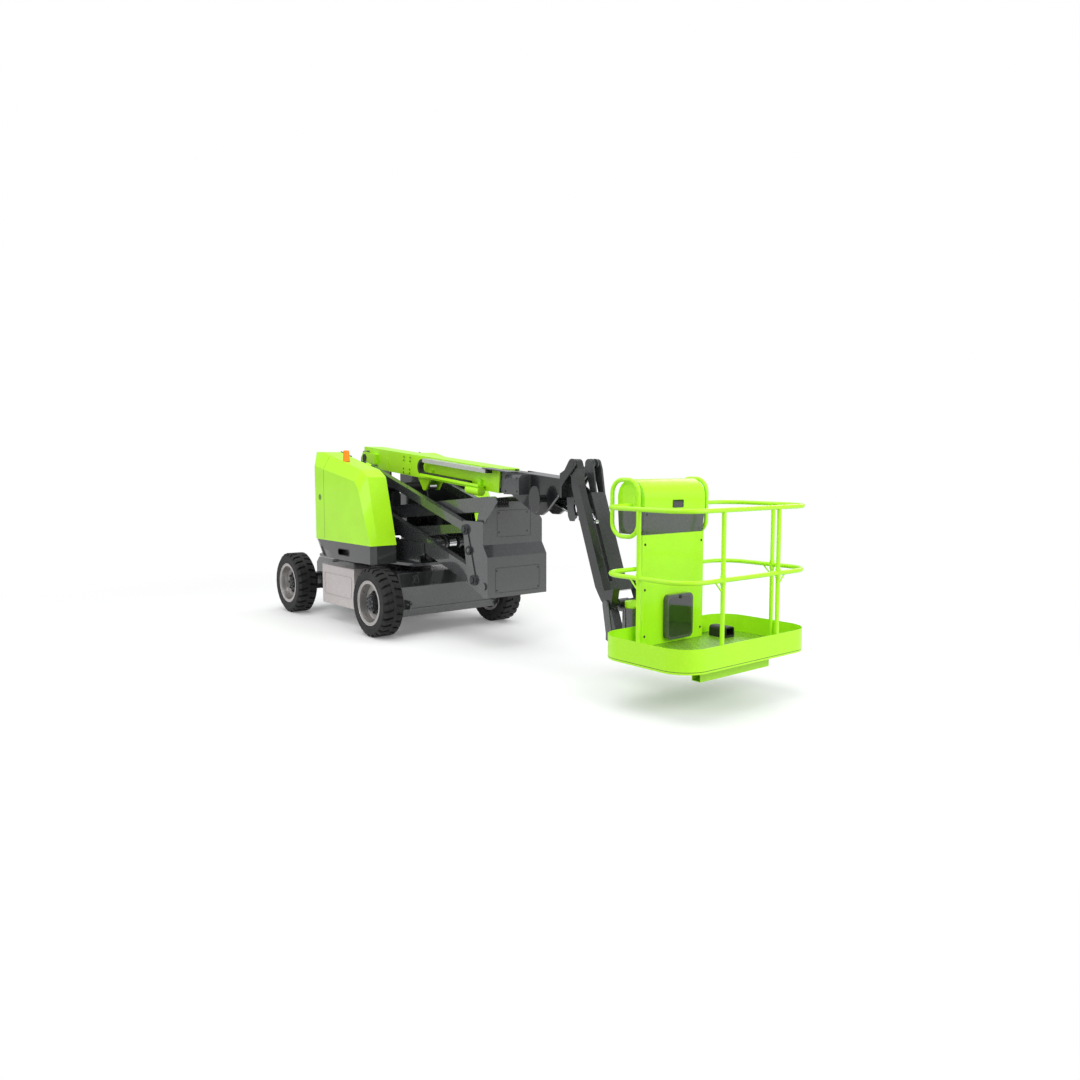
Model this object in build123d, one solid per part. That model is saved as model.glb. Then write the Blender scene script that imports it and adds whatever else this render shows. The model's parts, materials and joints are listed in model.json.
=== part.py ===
from build123d import *
import math
import os

# Articulating boom lift, stowed as it parks. Millimetres, +X toward the platform, +Y to the left, +Z up,
# origin on the ground under the slewing axis.

# driving dimensions: running gear
wheelbase = 2000.0
overall_width = 1750.0
tyre_dia = 708.0
tyre_width = 240.0
rim_dia = 470.0
bead_dia = 424.0
disc_thick = 14.0
hub_dia = 190.0
lug_count = 26
lug_height = 15.0
lug_width = 60.0
groove_slant = 14.0
kingpin_y = 545.0
kingpin_dia = 50.0

# driving dimensions: chassis
frame_low = 205.0
frame_top = 650.0
frame_nose = 1200.0
frame_half_width = 605.0
spine_half_width = 400.0
steer_half_width = 395.0
ledge_z = 510.0
box_rear = -350.0
box_front = 420.0
box_low = 190.0
box_outer = 722.0
ring_outer_dia = 900.0
ring_bore_dia = 560.0

# driving dimensions: turntable
deck_low = 716.0
deck_top = 745.0
tail_radius = 866.0
tower_inner = 346.0
tower_thick = 20.0
seat_gap = 0.3
skirt_low = deck_top + seat_gap
hood_low = 936.0
hood_outer = 830.0
hood_flat = 745.0
hood_inner = 527.0
hood_top = 1912.0
hood_front = 1000.0
hood_brow = 1750.0
hood_wall = 5.0
beacon_x = 250.0
beacon_y = -700.0
beacon_foot = 1780.0
beacon_height = 145.0
hinge_y = 518.0
hinge_pin_radius = 5.0
hinge_barrel_radius = 11.0
frame_side_thick = 8.0

# driving dimensions: riser
pin_b_x = 2168.0
pin_b_z = 673.0
pin_a_x = 2030.0
pin_a_z = 1150.0
lower_length = 2103.0
lower_fall_deg = 16.3
lower_arm_depth = 155.0
lower_link_depth = 84.0
lower_inner = 270.0
lower_outer = 338.0
pin_d_x = 2225.0
pin_d_z = 1400.0
pin_c_x = 2150.0
pin_c_z = 1172.0
upper_length = 2570.0
upper_fall_deg = 4.9
upper_arm_depth = 140.0
upper_link_depth = 88.0
upper_inner = 156.0
upper_outer = 240.0
middle_inner = 246.0
middle_outer = 264.0
cheek_inner = 344.0
cheek_outer = 360.0
pin_radius = 30.0
fit = 0.05

# driving dimensions: booms
boom_pin_x = -335.0
boom_pin_z = 1850.0
boom_fall_deg = 5.27
boom_half = 120.0
boom_under = -112.0
boom_over = 124.0
boom_wall = 6.0
boom_tail = -95.0
boom_front = 2596.0
fly_half = 104.0
fly_under = -96.0
fly_over = 108.0
fly_wall = 6.0
fly_tail = 320.0
ear_inner = 154.0
ear_outer = 166.0
nose_pin_x = 3144.0
nose_pin_z = 1578.0

# driving dimensions: jib
jib_arm_pin_x = 3385.0
jib_arm_pin_z = 1780.0
jib_link_pin_x = 3325.0
jib_link_pin_z = 1470.0
jib_reach = 422.0
jib_drop = 1155.0
jib_depth = 88.0
leg_outer = -184.0
leg_inner = -109.0
beam_near = -59.0
beam_far = 105.0
lug_far = 200.0
ram_y = -84.0
link_near = -20.0
link_far = 70.0
link_depth = 52.0
rotator_x = 3940.0
rotator_radius = 95.0

# driving dimensions: platform
basket_rear = 4272.0
basket_front = 5156.0
basket_half = 743.5
basket_corner = 220.0
toe_low = 350.0
toe_top = 526.0
mid_rail_z = 978.0
top_rail_z = 1466.0
rail_dia = 34.0
panel_x = 4362.0
panel_half = 352.0
hoop_y = 392.0
hoop_rear = 4080.0
hoop_low = 1226.0
hoop_top = 1662.0


def box(x0, x1, y0, y1, z0, z1):
    return Pos((x0 + x1) / 2, (y0 + y1) / 2, (z0 + z1) / 2) * Box(x1 - x0, y1 - y0, z1 - z0)


def cyl_x(radius, y, z, x0, x1):
    return Pos((x0 + x1) / 2, y, z) * (Rot(0, 90, 0) * Cylinder(radius, x1 - x0))


def cyl_y(radius, x, z, y0, y1):
    return Pos(x, (y0 + y1) / 2, z) * (Rot(90, 0, 0) * Cylinder(radius, y1 - y0))


def cyl_z(radius, x, y, z0, z1):
    return Pos(x, y, (z0 + z1) / 2) * Cylinder(radius, z1 - z0)


def face(points):
    return make_face(Polyline(*points, close=True))


def prism_y(points, y0, y1):
    return Pos(0, y1, 0) * extrude(Plane.XZ * face(points), amount=y1 - y0)


def prism_z(points, z0, z1):
    return Pos(0, 0, z0) * extrude(face(points), amount=z1 - z0)


def prism_x(points, x0, x1):
    return Pos(x0, 0, 0) * extrude(Plane.YZ * face(points), amount=x1 - x0)


def flip(shape):
    return mirror(shape, about=Plane.XZ)


def both(shape):
    return shape + flip(shape)


def turned(points, x, z):
    return Pos(x, 0, z) * revolve(face(points), axis=Axis.Y)


def bar(px, pz, qx, qz, depth, y0, y1):
    length = math.hypot(qx - px, qz - pz)
    lean = math.degrees(math.atan2(qz - pz, qx - px))
    body = Pos(px, (y0 + y1) / 2, pz) * (Rot(0, -lean, 0) * (Pos(length / 2, 0, 0) * Box(length, y1 - y0, depth)))
    return body + cyl_y(depth / 2, px, pz, y0, y1) + cyl_y(depth / 2, qx, qz, y0, y1)


def put(shape, name):
    shape.label = name
    export_step(shape, "parts/" + name + ".step")


def rod_between(px, py, pz, qx, qy, qz, radius):
    line = Line((px, py, pz), (qx, qy, qz))
    return sweep(Plane(line @ 0, z_dir=line % 0) * Circle(radius), path=line)


os.makedirs("parts", exist_ok=True)
wheel_r = tyre_dia / 2
axle_x = wheelbase / 2
tyre_out = overall_width / 2
tyre_in = tyre_out - tyre_width
tyre_mid = tyre_out - tyre_width / 2

# chassis frame: closed hull, narrow at the steered end to leave room for the wheels
drive_end = [(560, frame_low), (frame_nose, frame_low), (frame_nose, ledge_z), (frame_nose - 65, frame_top),
             (560, frame_top)]
chassis = prism_y(drive_end, -frame_half_width, frame_half_width)
chassis = chassis + box(-700, 600, -spine_half_width, spine_half_width, 250, frame_top)
steer_end = [(-1195, 330), (-1130, frame_low + 40), (-640, frame_low + 40), (-640, frame_top - 20),
             (-1120, frame_top - 20), (-1195, 560)]
chassis = chassis + prism_y(steer_end, -steer_half_width, steer_half_width)
chassis = chassis + box(frame_nose - 2, frame_nose + 14, -frame_half_width, frame_half_width, 262, 284)
chassis = chassis - both(box(axle_x - 120, axle_x + 120, 430, frame_half_width + 1, 234, 474))
axle_slot = box(axle_x * -1 - 90, axle_x * -1 + 90, -steer_half_width - 1, steer_half_width + 1, 240, 420 + seat_gap)
chassis = chassis - axle_slot
lug_plate = cyl_y(46, frame_nose + 52, 330, 525, 549) + box(frame_nose, frame_nose + 52, 525, 549, 284, 376)
lug_plate = lug_plate - cyl_y(21, frame_nose + 52, 330, 520, 555)
chassis = chassis + both(lug_plate)
put(chassis, "chassis_frame")

# slewing ring fixed to the chassis
slew_ring = cyl_z(ring_outer_dia / 2, 0, 0, frame_top, deck_low - seat_gap) - cyl_z(ring_bore_dia / 2, 0, 0, frame_top, deck_low)
put(slew_ring, "slew_ring")

# drive axle and steered axle
drive_axle = both(cyl_y(82, axle_x, wheel_r, 430, 585) + cyl_y(112, axle_x, wheel_r, 560, 652))
put(drive_axle, "drive_axle")

steer_beam = box(-axle_x - 75, -axle_x + 75, -430, 430, 300, 420)
steer_beam = steer_beam + both(box(-axle_x - 60, -axle_x + 60, 425, 590, 262, 302))
steer_beam = steer_beam + both(box(-axle_x - 60, -axle_x + 60, 425, 590, 414, 454))
steer_beam = steer_beam + both(box(-axle_x - 75, -axle_x + 75, 410, 460, 262, 454))
steer_beam = steer_beam + both(cyl_z(kingpin_dia / 2, -axle_x, kingpin_y, 262, 466))
put(steer_beam, "steer_axle")

# steering knuckle: a block on the kingpin with the stub the wheel turns on
knuckle = cyl_z(58, -axle_x, kingpin_y, 303, 413) + box(-axle_x - 48, -axle_x + 48, kingpin_y, 640, 306, 410)
knuckle = knuckle - cyl_z(kingpin_dia / 2 + fit, -axle_x, kingpin_y, 300, 415)
knuckle = knuckle + cyl_y(62, -axle_x, wheel_r, 636, 664) + cyl_y(34, -axle_x, wheel_r, 636, 800)
steer_arm = box(-axle_x - 190, -axle_x, kingpin_y - 24, kingpin_y + 24, 346, 370)
steer_arm = steer_arm - cyl_z(58, -axle_x, kingpin_y, 340, 380) + cyl_z(30, -axle_x - 190, kingpin_y, 340, 376)
knuckle = knuckle + steer_arm
put(knuckle, "knuckle_left")
put(flip(knuckle), "knuckle_right")


def ring_face(flat_radius, y):
    outline = RegularPolygon(flat_radius, lug_count, major_radius=False, rotation=0)
    return Pos(0, y, 0) * (Plane.XZ * outline)


def drum(flats, flat_radius, y0, y1):
    outline = RegularPolygon(flat_radius, flats, major_radius=False, rotation=0)
    return Pos(0, y1, 0) * extrude(Plane.XZ * outline, amount=y1 - y0)


# tyre with as many flats round as it has lugs a side; slanted grooves, staggered from side to side, part the lugs
def tyre(x):
    sections = [(wheel_r - 92, tyre_in + 4), (wheel_r - 42, tyre_in), (wheel_r, tyre_in + 28),
                (wheel_r, tyre_out - 28), (wheel_r - 42, tyre_out), (wheel_r - 92, tyre_out - 4)]
    ring = loft([ring_face(r, y) for r, y in sections], ruled=True)
    ring = ring - drum(lug_count // 2, bead_dia / 2 + 6.5, tyre_in - 1, tyre_out + 1)
    ring = ring - drum(lug_count // 2, rim_dia / 2 + 3, tyre_in - 1, tyre_in + 26)
    ring = ring - drum(lug_count, rim_dia / 2 + 3, tyre_out - 26, tyre_out + 1)
    pitch = 360 / lug_count
    reach = tyre_width / 2 - 14
    half = (2 * wheel_r * math.tan(math.radians(pitch / 2)) - lug_width) / 2
    grooves = []
    for row in (0, 1):
        edge = tyre_in if row == 0 else tyre_out
        inward = 1 if row == 0 else -1
        side = [(edge - 8 * inward, wheel_r - 34), (edge + reach * inward, wheel_r - lug_height),
                (edge + reach * inward, wheel_r + 20), (edge - 8 * inward, wheel_r + 20)]
        cutter = prism_x(side, -half, half)
        centre = edge + reach / 2 * inward
        cutter = Pos(0, centre, 0) * (Rot(0, 0, groove_slant * inward) * (Pos(0, -centre, 0) * cutter))
        for i in range(lug_count):
            grooves.append(Rot(0, (i + (1 - row) / 2) * pitch, 0) * cutter)
    return Pos(x, 0, wheel_r) * (ring - grooves)


def rim(x):
    r = rim_dia / 2
    b = bead_dia / 2
    pts = [(b - 12, tyre_in + 12), (r - 6, tyre_in + 12), (r, tyre_in + 18), (r, tyre_in + 25), (b + 5, tyre_in + 25),
           (b + 5, tyre_out - 25), (r, tyre_out - 25), (r, tyre_out - 18), (r - 6, tyre_out - 12),
           (b - 12, tyre_out - 12), (b - 22, tyre_out - 60), (b - 30, tyre_mid + 34),
           (hub_dia / 2 + 40, tyre_mid + 24), (hub_dia / 2 + 2, tyre_mid + 24),
           (hub_dia / 2 + 2, tyre_mid + 24 - disc_thick), (hub_dia / 2 + 46, tyre_mid + 10),
           (b - 24, tyre_mid + 10), (b - 12, tyre_in + 60)]
    return turned(pts, x, wheel_r)


drive_rim = rim(axle_x)
steer_rim = rim(-axle_x)
tyre_front = tyre(axle_x)
put(tyre_front, "tyre_drive_left")
put(flip(tyre_front), "tyre_drive_right")
tyre_rear = Pos(-wheelbase, 0, 0) * tyre_front
put(tyre_rear, "tyre_steer_left")
put(flip(tyre_rear), "tyre_steer_right")
put(drive_rim, "rim_drive_left")
put(flip(drive_rim), "rim_drive_right")
put(steer_rim, "rim_steer_left")
put(flip(steer_rim), "rim_steer_right")

hub_out = tyre_mid + 24
drive_hub = cyl_y(hub_dia / 2 + 2, axle_x, wheel_r, hub_out - disc_thick, hub_out)
drive_hub = drive_hub + cyl_y(hub_dia / 2 + 30, axle_x, wheel_r, hub_out, hub_out + 8)
drive_hub = drive_hub + cyl_y(hub_dia / 2 - 8, axle_x, wheel_r, 652 + seat_gap, hub_out + 62)
drive_hub = drive_hub + cyl_y(hub_dia / 2 - 22, axle_x, wheel_r, hub_out + 60, hub_out + 76)
put(drive_hub, "hub_drive_left")
put(flip(drive_hub), "hub_drive_right")
steer_hub = cyl_y(hub_dia / 2 + 2, -axle_x, wheel_r, hub_out - disc_thick, hub_out)
steer_hub = steer_hub + cyl_y(hub_dia / 2 + 30, -axle_x, wheel_r, hub_out, hub_out + 8)
steer_hub = steer_hub + cyl_y(60, -axle_x, wheel_r, 672, hub_out + 40)
steer_hub = steer_hub - cyl_y(34 + fit, -axle_x, wheel_r, 660, 806)
put(steer_hub, "hub_steer_left")
put(flip(steer_hub), "hub_steer_right")

# battery boxes either side of the spine, with a rounded recess in the outer face
battery = box(box_rear, box_front, spine_half_width, box_outer, box_low, frame_top - 12)
battery = fillet(battery.edges().filter_by(Axis.X).group_by(Axis.Y)[-1], 14)
recess = Pos((box_rear + box_front) / 2, box_outer, 425) * (Rot(90, 0, 0) * extrude(RectangleRounded(660, 250, 40), amount=5, both=True))
recess_in = Pos((box_rear + box_front) / 2, box_outer, 425) * (Rot(90, 0, 0) * extrude(RectangleRounded(636, 226, 30), amount=5, both=True))
battery = battery - (recess - recess_in)
put(both(battery), "battery_boxes")

# turntable: deck plate, towers that hold the rear riser pins, cross plates
rear_b_x = pin_b_x - lower_length * math.cos(math.radians(lower_fall_deg))
rear_b_z = pin_b_z + lower_length * math.sin(math.radians(lower_fall_deg))
rear_a_x = rear_b_x + pin_a_x - pin_b_x
rear_a_z = rear_b_z + pin_a_z - pin_b_z
riser_base_x = 0.0
riser_base_z = 850.0
deck_pts = [(-632, -548), (-420, -720), (500, -720), (760, -480), (1180, -420), (1180, 420), (760, 480), (500, 720),
            (-420, 720), (-632, 548)]
deck = prism_z(deck_pts, deck_low, deck_top)
tower_pts = [(-300, deck_top), (1176, deck_top), (1176, 826), (1250, 826), (1250, 960), (640, 960), (600, 980), (rear_b_x + 110, rear_b_z + 20),
             (rear_a_x + 75, rear_a_z + 40), (rear_a_x + 30, rear_a_z + 70), (rear_a_x - 40, rear_a_z + 70),
             (rear_a_x - 90, rear_a_z + 20), (-240, 1200), (-300, 800)]
tower = prism_y(tower_pts, tower_inner, tower_inner + tower_thick)
for pin_x, pin_z in ((rear_a_x, rear_a_z), (rear_b_x, rear_b_z)):
    tower = tower + cyl_y(pin_radius, pin_x, pin_z, lower_inner - 4, tower_inner + tower_thick)
    tower = tower + cyl_y(pin_radius + 22, pin_x, pin_z, tower_inner + tower_thick, tower_inner + tower_thick + 8)
put(both(tower), "riser_towers")
eye_lug = cyl_y(52, riser_base_x, riser_base_z, 58, 80)
eye_lug = eye_lug + prism_y([(-70, deck_top), (70, deck_top), (49, riser_base_z), (-49, riser_base_z)], 58, 80)
deck = deck + both(eye_lug) + cyl_y(24, riser_base_x, riser_base_z, -86, 86)
put(deck, "turntable_base")

# slewing motor
motor = cyl_z(58, 940, -200, deck_top, 830) + cyl_z(42, 940, -200, 828, 880)
motor = motor + box(880, 1000, -250, -150, deck_top, 762)
put(motor, "swing_motor")


# outline of a hood seen from the side, at its crown and along the flat of its outer face
def crown_outline(inset, low):
    shape = face([(-1000, low), (hood_front, low), (hood_front - 200, 1640), (hood_front - 335, 1716),
                  (-220, hood_top), (-1000, hood_top)])
    return offset(shape, amount=-inset, kind=Kind.INTERSECTION) if inset else shape


def flat_outline(inset, low):
    shape = face([(-1000, low), (hood_front, low), (hood_front - 248, 1510), (hood_front - 318, 1596),
                  (-220, hood_brow), (-1000, hood_brow)])
    return offset(shape, amount=-inset, kind=Kind.INTERSECTION) if inset else shape


def hood_shape(inset):
    low = hood_low - 3 * inset
    crown = Plane.XZ * crown_outline(inset, low)
    flat = Plane.XZ * flat_outline(inset, low)
    outer = loft([Pos(0, -hood_outer + inset, 0) * flat, Pos(0, -hood_flat + inset / 2, 0) * crown], ruled=True)
    inner = Pos(0, -hood_inner, 0) * extrude(crown, amount=hood_flat - inset / 2 - hood_inner)
    tail = revolve(Plane.XZ * face([(0, low - 10), (tail_radius - inset, low - 10), (tail_radius - inset, hood_brow),
                                    (tail_radius - 44 - inset, 2000), (0, 2000)]), axis=Axis.Z)
    tail = tail + box(-240, 1200, -1000, -300, low - 10, 2000)
    return (outer + inner) & tail


def along_hinge(shape):
    slope = math.degrees(math.atan2(hood_top - 1716, hood_front - 335 + 220))
    return Pos(-220, -hinge_y, hood_top) * (Rot(0, slope, 0) * shape)


hinge_stations = ((60, 170), (600, 710))
hood = hood_shape(0) - hood_shape(hood_wall)
for start, stop in hinge_stations:
    barrel_piece = cyl_x(hinge_barrel_radius, 0, 0, start, stop) - cyl_x(hinge_pin_radius + fit, 0, 0, start - 1, stop + 1)
    hood = hood + along_hinge(barrel_piece)
    hood = hood - along_hinge(cyl_x(hinge_pin_radius + fit, 0, 0, start - 1, stop + 1))
put(hood, "hood_right")
put(flip(hood), "hood_left")
beacon = Pos(beacon_x, beacon_y, beacon_foot) * Cone(40, 31, beacon_height, align=(Align.CENTER, Align.CENTER, Align.MIN))
beacon = fillet(beacon.edges().group_by(Axis.Z)[-1], 12) - hood_shape(0)
put(beacon, "beacon")

# tail mass and skirts round the turntable, below the hoods, with the side frames that carry the hood hinges
tail_half = 344.0
tail_open = math.degrees(math.asin(tail_half / tail_radius))
tail_arc = [(tail_radius * math.cos(math.radians(a)), tail_radius * math.sin(math.radians(a)))
            for a in (180 - tail_open, 180 - tail_open / 2, 180, 180 + tail_open / 2, 180 + tail_open)]
tail = prism_z([(-430, tail_half)] + tail_arc + [(-430, -tail_half)], skirt_low, 872)


def skirt_shape(inset, low, high):
    front = hood_front - 8 - inset
    cone_low = tail_radius - 70 - inset
    plan = box(-1000, front, -hood_outer + 8 + inset, -hood_inner, low, high)
    cut_edge = revolve(Plane.XZ * face([(0, skirt_low - 1), (cone_low, skirt_low - 1), (tail_radius - 8 - inset, hood_low),
                                        (tail_radius - 8 - inset, hood_low + 20), (0, hood_low + 20)]), axis=Axis.Z)
    cut_edge = cut_edge + prism_y([(-100 + inset, hood_low + 20), (1200, hood_low + 20), (1200, skirt_low - 1),
                                   (126 + inset, skirt_low - 1), (-60 + inset, hood_low)], -1000, -300)
    corner = prism_z([(front - 26, -hood_outer), (front + 1, -hood_outer), (front + 1, -hood_outer + 80)], low - 1, high + 1)
    return (plan & cut_edge) - corner


skirt = skirt_shape(0, skirt_low, hood_low - seat_gap) - skirt_shape(8, skirt_low + 8, hood_low + 10)
slot_cut = Plane.XZ * SlotOverall(250, 62)
skirt = skirt - Pos(382, -hood_outer + 30, 828) * extrude(slot_cut, amount=40)
side_frame = Pos(0, -hinge_y + frame_side_thick / 2, 0) * extrude(Plane.XZ * crown_outline(26, skirt_low - 26), amount=frame_side_thick)
side_frame = side_frame & box(-680, 1200, -900, -300, skirt_low, 2000)
for start, stop in ((-10, 59.5), (170.5, 240), (540, 599.5), (710.5, 780)):
    tab = cyl_x(hinge_pin_radius + 3, 0, 0, start, stop) + box(start, stop, -4, 4, -60, 0)
    side_frame = side_frame + along_hinge(tab)
for start, stop in hinge_stations:
    side_frame = side_frame + along_hinge(cyl_x(hinge_pin_radius, 0, 0, start - 4, stop + 4))
put(both(skirt) + tail + both(side_frame), "skirts")

mass_block = box(150, 640, -760, -560, skirt_low + 8, 1430) + box(-260, 151, -760, -560, hood_low + 20, 1430)
put(both(mass_block), "power_units")

# riser: lower arm, lower link, pivot block, upper arm, upper link, upper pivot
arm = bar(rear_b_x, rear_b_z, pin_b_x, pin_b_z, lower_arm_depth, lower_inner, lower_outer)
arm = arm - cyl_y(pin_radius + fit, rear_b_x, rear_b_z, 0, 400) - cyl_y(pin_radius + fit, pin_b_x, pin_b_z, 0, 400)
arm = both(arm)
riser_eye_reach = 1127.0
riser_eye_x = rear_b_x + riser_eye_reach * math.cos(math.radians(lower_fall_deg))
riser_eye_z = rear_b_z - riser_eye_reach * math.sin(math.radians(lower_fall_deg))
arm = arm + both(cyl_y(46, riser_eye_x, riser_eye_z, 96, lower_inner + 5))
arm = arm + both(cyl_y(62, riser_eye_x, riser_eye_z, 74, 98))
cross_x = rear_b_x + 420 * math.cos(math.radians(lower_fall_deg))
cross_z = rear_b_z - 420 * math.sin(math.radians(lower_fall_deg)) - 60
put(arm, "lower_arm")

link = bar(rear_a_x, rear_a_z, pin_a_x, pin_a_z, lower_link_depth, lower_inner, lower_outer)
link = link - cyl_y(pin_radius + fit, rear_a_x, rear_a_z, 0, 400) - cyl_y(pin_radius + fit, pin_a_x, pin_a_z, 0, 400)
put(both(link), "lower_link")

cheek_pts = [(1970, 1209), (2056, 631), (2327, 517), (2380, 525), (2380, 905), (2310, 1015), (2310, 1235), (1990, 1235)]
cheek = prism_y(cheek_pts, cheek_inner, cheek_outer)
middle_pts = [(1985, 1200), (2070, 640), (2300, 560), (2300, 1300), (2300, 1420), (2240, 1470), (2150, 1440), (2080, 1235)]
middle = prism_y(middle_pts, middle_inner, middle_outer)
block = cheek + middle
for pin_x, pin_z in ((pin_a_x, pin_a_z), (pin_b_x, pin_b_z)):
    block = block + cyl_y(pin_radius, pin_x, pin_z, middle_outer - 5, cheek_outer)
for pin_x, pin_z in ((pin_d_x, pin_d_z), (pin_c_x, pin_c_z)):
    block = block + cyl_y(pin_radius, pin_x, pin_z, upper_inner - 6, middle_inner + 5)
block = both(block)
cover_pts = [(-cheek_outer, 1015), (-cheek_outer, 1235), (-middle_outer + 56, 1420), (middle_outer - 56, 1420),
             (cheek_outer, 1235), (cheek_outer, 1015)]
block = block + prism_x(cover_pts, 2296, 2310)
block = block + prism_y([(2296, 1015), (2310, 1015), (2380, 905), (2366, 905)], -cheek_outer, cheek_outer)
block = block + box(2366, 2380, -cheek_outer, cheek_outer, 525, 905)
block = block + box(2290, 2380, -cheek_outer, cheek_outer, 517, 531)
block = block + box(2200, 2300, -cheek_inner, cheek_inner, 900, 912)
pin_bar = cyl_y(52, pin_a_x, pin_a_z, cheek_outer, cheek_outer + 16) + cyl_y(52, pin_b_x, pin_b_z, cheek_outer, cheek_outer + 16)
pin_bar = pin_bar + bar(pin_a_x, pin_a_z, pin_b_x, pin_b_z, 62, cheek_outer, cheek_outer + 10)
block = block + both(pin_bar)
block = block + both(cyl_y(34, 2070, 965, cheek_outer, cheek_outer + 18) + cyl_y(36, 2322, 625, cheek_outer, cheek_outer + 14))
strap = prism_y([(2202, 1236), (2290, 1212), (2330, 1232), (2521, 1440), (2500, 1470), (2381, 1474)], -352, -340)
block = block + strap
put(block, "mid_pivot")

rear_d_x = pin_d_x - upper_length * math.cos(math.radians(upper_fall_deg))
rear_d_z = pin_d_z - upper_length * math.sin(math.radians(upper_fall_deg))
rear_c_x = rear_d_x + pin_c_x - pin_d_x
rear_c_z = rear_d_z + pin_c_z - pin_d_z
up_arm = bar(rear_d_x, rear_d_z, pin_d_x, pin_d_z, upper_arm_depth, upper_inner, upper_outer)
up_arm = up_arm - cyl_y(pin_radius + fit, rear_d_x, rear_d_z, 0, 400) - cyl_y(pin_radius + fit, pin_d_x, pin_d_z, 0, 400)
up_arm = both(up_arm)
tie_x = rear_d_x + 1500 * math.cos(math.radians(upper_fall_deg))
tie_z = rear_d_z + 1500 * math.sin(math.radians(upper_fall_deg))
up_arm = up_arm + cyl_y(45, tie_x, tie_z, -upper_inner - 5, upper_inner + 5)
put(up_arm, "upper_arm")
up_link = bar(rear_c_x, rear_c_z, pin_c_x, pin_c_z, upper_link_depth, upper_inner, upper_outer)
up_link = up_link - cyl_y(pin_radius + fit, rear_c_x, rear_c_z, 0, 400) - cyl_y(pin_radius + fit, pin_c_x, pin_c_z, 0, 400)
put(both(up_link), "upper_link")

boom_base_x = -250.0
boom_base_z = 1495.0
plate_pts = [(rear_c_x - 60, rear_c_z - 50), (rear_c_x + 50, rear_c_z - 60), (rear_d_x + 75, rear_d_z - 20),
             (boom_base_x + 30, boom_base_z - 60), (boom_base_x + 45, boom_base_z + 10), (-255, 1600), (boom_pin_x + 78, boom_pin_z + 30), (boom_pin_x + 30, boom_pin_z + 85),
             (boom_pin_x - 60, boom_pin_z + 80), (boom_pin_x - 120, boom_pin_z), (-470, 1400)]
pivot = prism_y(plate_pts, 127, 149)
pivot = both(pivot)
pivot = pivot + box(-455, -440, -128, 128, 1000, 1560) + cyl_y(24, boom_base_x, boom_base_z, -128, 128)
pivot = pivot + cyl_y(36, boom_pin_x, boom_pin_z, -ear_outer - 6, ear_outer + 6)
pivot = pivot + both(cyl_y(60, boom_pin_x, boom_pin_z, 149, ear_inner - 1))
for pin_x, pin_z in ((rear_d_x, rear_d_z), (rear_c_x, rear_c_z)):
    pivot = pivot + cyl_y(pin_radius, pin_x, pin_z, -upper_outer - 2, upper_outer + 2)
put(pivot, "upper_pivot")


# booms, drawn along their own axis from the boom pin and laid down by the stowed angle
def lay(shape):
    return Pos(boom_pin_x, 0, boom_pin_z) * (Rot(0, boom_fall_deg, 0) * shape)


boom = box(boom_tail, boom_front, -boom_half, boom_half, boom_under, boom_over)
boom = boom - box(150, boom_front + 1, -boom_half + boom_wall, boom_half - boom_wall, boom_under + boom_wall, boom_over - boom_wall)
boom = boom - cyl_y(36 + fit, 0, 0, -200, 200)
pad = box(2556, 2592, fly_half + seat_gap, boom_half - boom_wall + 2, -60, 70)
boom = boom + both(pad)
boom = boom + box(2556, 2592, -70, 70, boom_under + boom_wall - 2, fly_under - seat_gap)
boom = boom + box(2556, 2592, -70, 70, fly_over + seat_gap, boom_over - boom_wall + 2)
eye_x = 854.0
eye_z = 1541.0
fall = math.radians(boom_fall_deg)
eye_u = (eye_x - boom_pin_x) * math.cos(fall) - (eye_z - boom_pin_z) * math.sin(fall)
eye_w = (eye_x - boom_pin_x) * math.sin(fall) + (eye_z - boom_pin_z) * math.cos(fall)
boom_lug = cyl_y(48, eye_u, eye_w, 70, 90) + prism_y([(eye_u - 150, boom_under + 2), (eye_u - 44, eye_w - 16), (eye_u + 44, eye_w - 16), (eye_u + 120, boom_under + 2)], 70, 90)
boom = boom + both(boom_lug)
ear = cyl_y(72, 0, 0, ear_inner, ear_outer)
ear = ear + prism_y([(0, -72), (240, -58), (240, 58), (0, 72)], ear_inner, ear_outer)
ear = ear + box(150, 236, boom_half - 2, ear_inner + 1, -56, 56) - cyl_y(36 + fit, 0, 0, 0, 200)
boom = boom + both(ear)
splice = box(812, 975, -boom_half - 5, -boom_half + 1, -98, 20)
rib = box(430, 490, -boom_half - 6, -boom_half + 1, -104, 30)
boom = boom + splice + rib
put(lay(boom), "main_boom")

fly = box(fly_tail, 2760, -fly_half, fly_half, fly_under, fly_over)
fly = fly - box(fly_tail - 1, 2761, -fly_half + fly_wall, fly_half - fly_wall, fly_under + fly_wall, fly_over - fly_wall)
fly = fly - box(2610, 2761, -fly_half + fly_wall, fly_half - fly_wall, fly_under - 1, fly_under + fly_wall + 1)
fly = lay(fly)
side_pts = [(2417, 1500), (2730, 1350), (2790, 1318), (2880, 1318), (2940, 1350), (2990, 1400), (3125, 1520),
            (3190, 1560), (3190, 1610), (3150, 1650), (2556, 1703), (2417, 1716)]
side = prism_y(side_pts, fly_half, fly_half + 10)
side = side + prism_y(side_pts, fly_half - 16, fly_half)
nose = both(side & box(2417, 3250, 80, 130, 1200, 1760))
nose = nose - box(2400, 2425, -200, 200, 1300, 1800)
roof = prism_y([(2556, 1693), (3080, 1646), (3080, 1656), (2556, 1703)], -fly_half, fly_half)
nose = nose + roof
fly = fly + nose - cyl_y(0.5, 0, 0, -1, 1)
fly = fly + cyl_y(36, nose_pin_x, nose_pin_z, -fly_half - 14, fly_half + 14)
level_base_x = 2350.0
level_base_z = 1640.0
fly = fly + cyl_y(18, level_base_x, level_base_z, -fly_half + 2, fly_half - 2)
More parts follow.
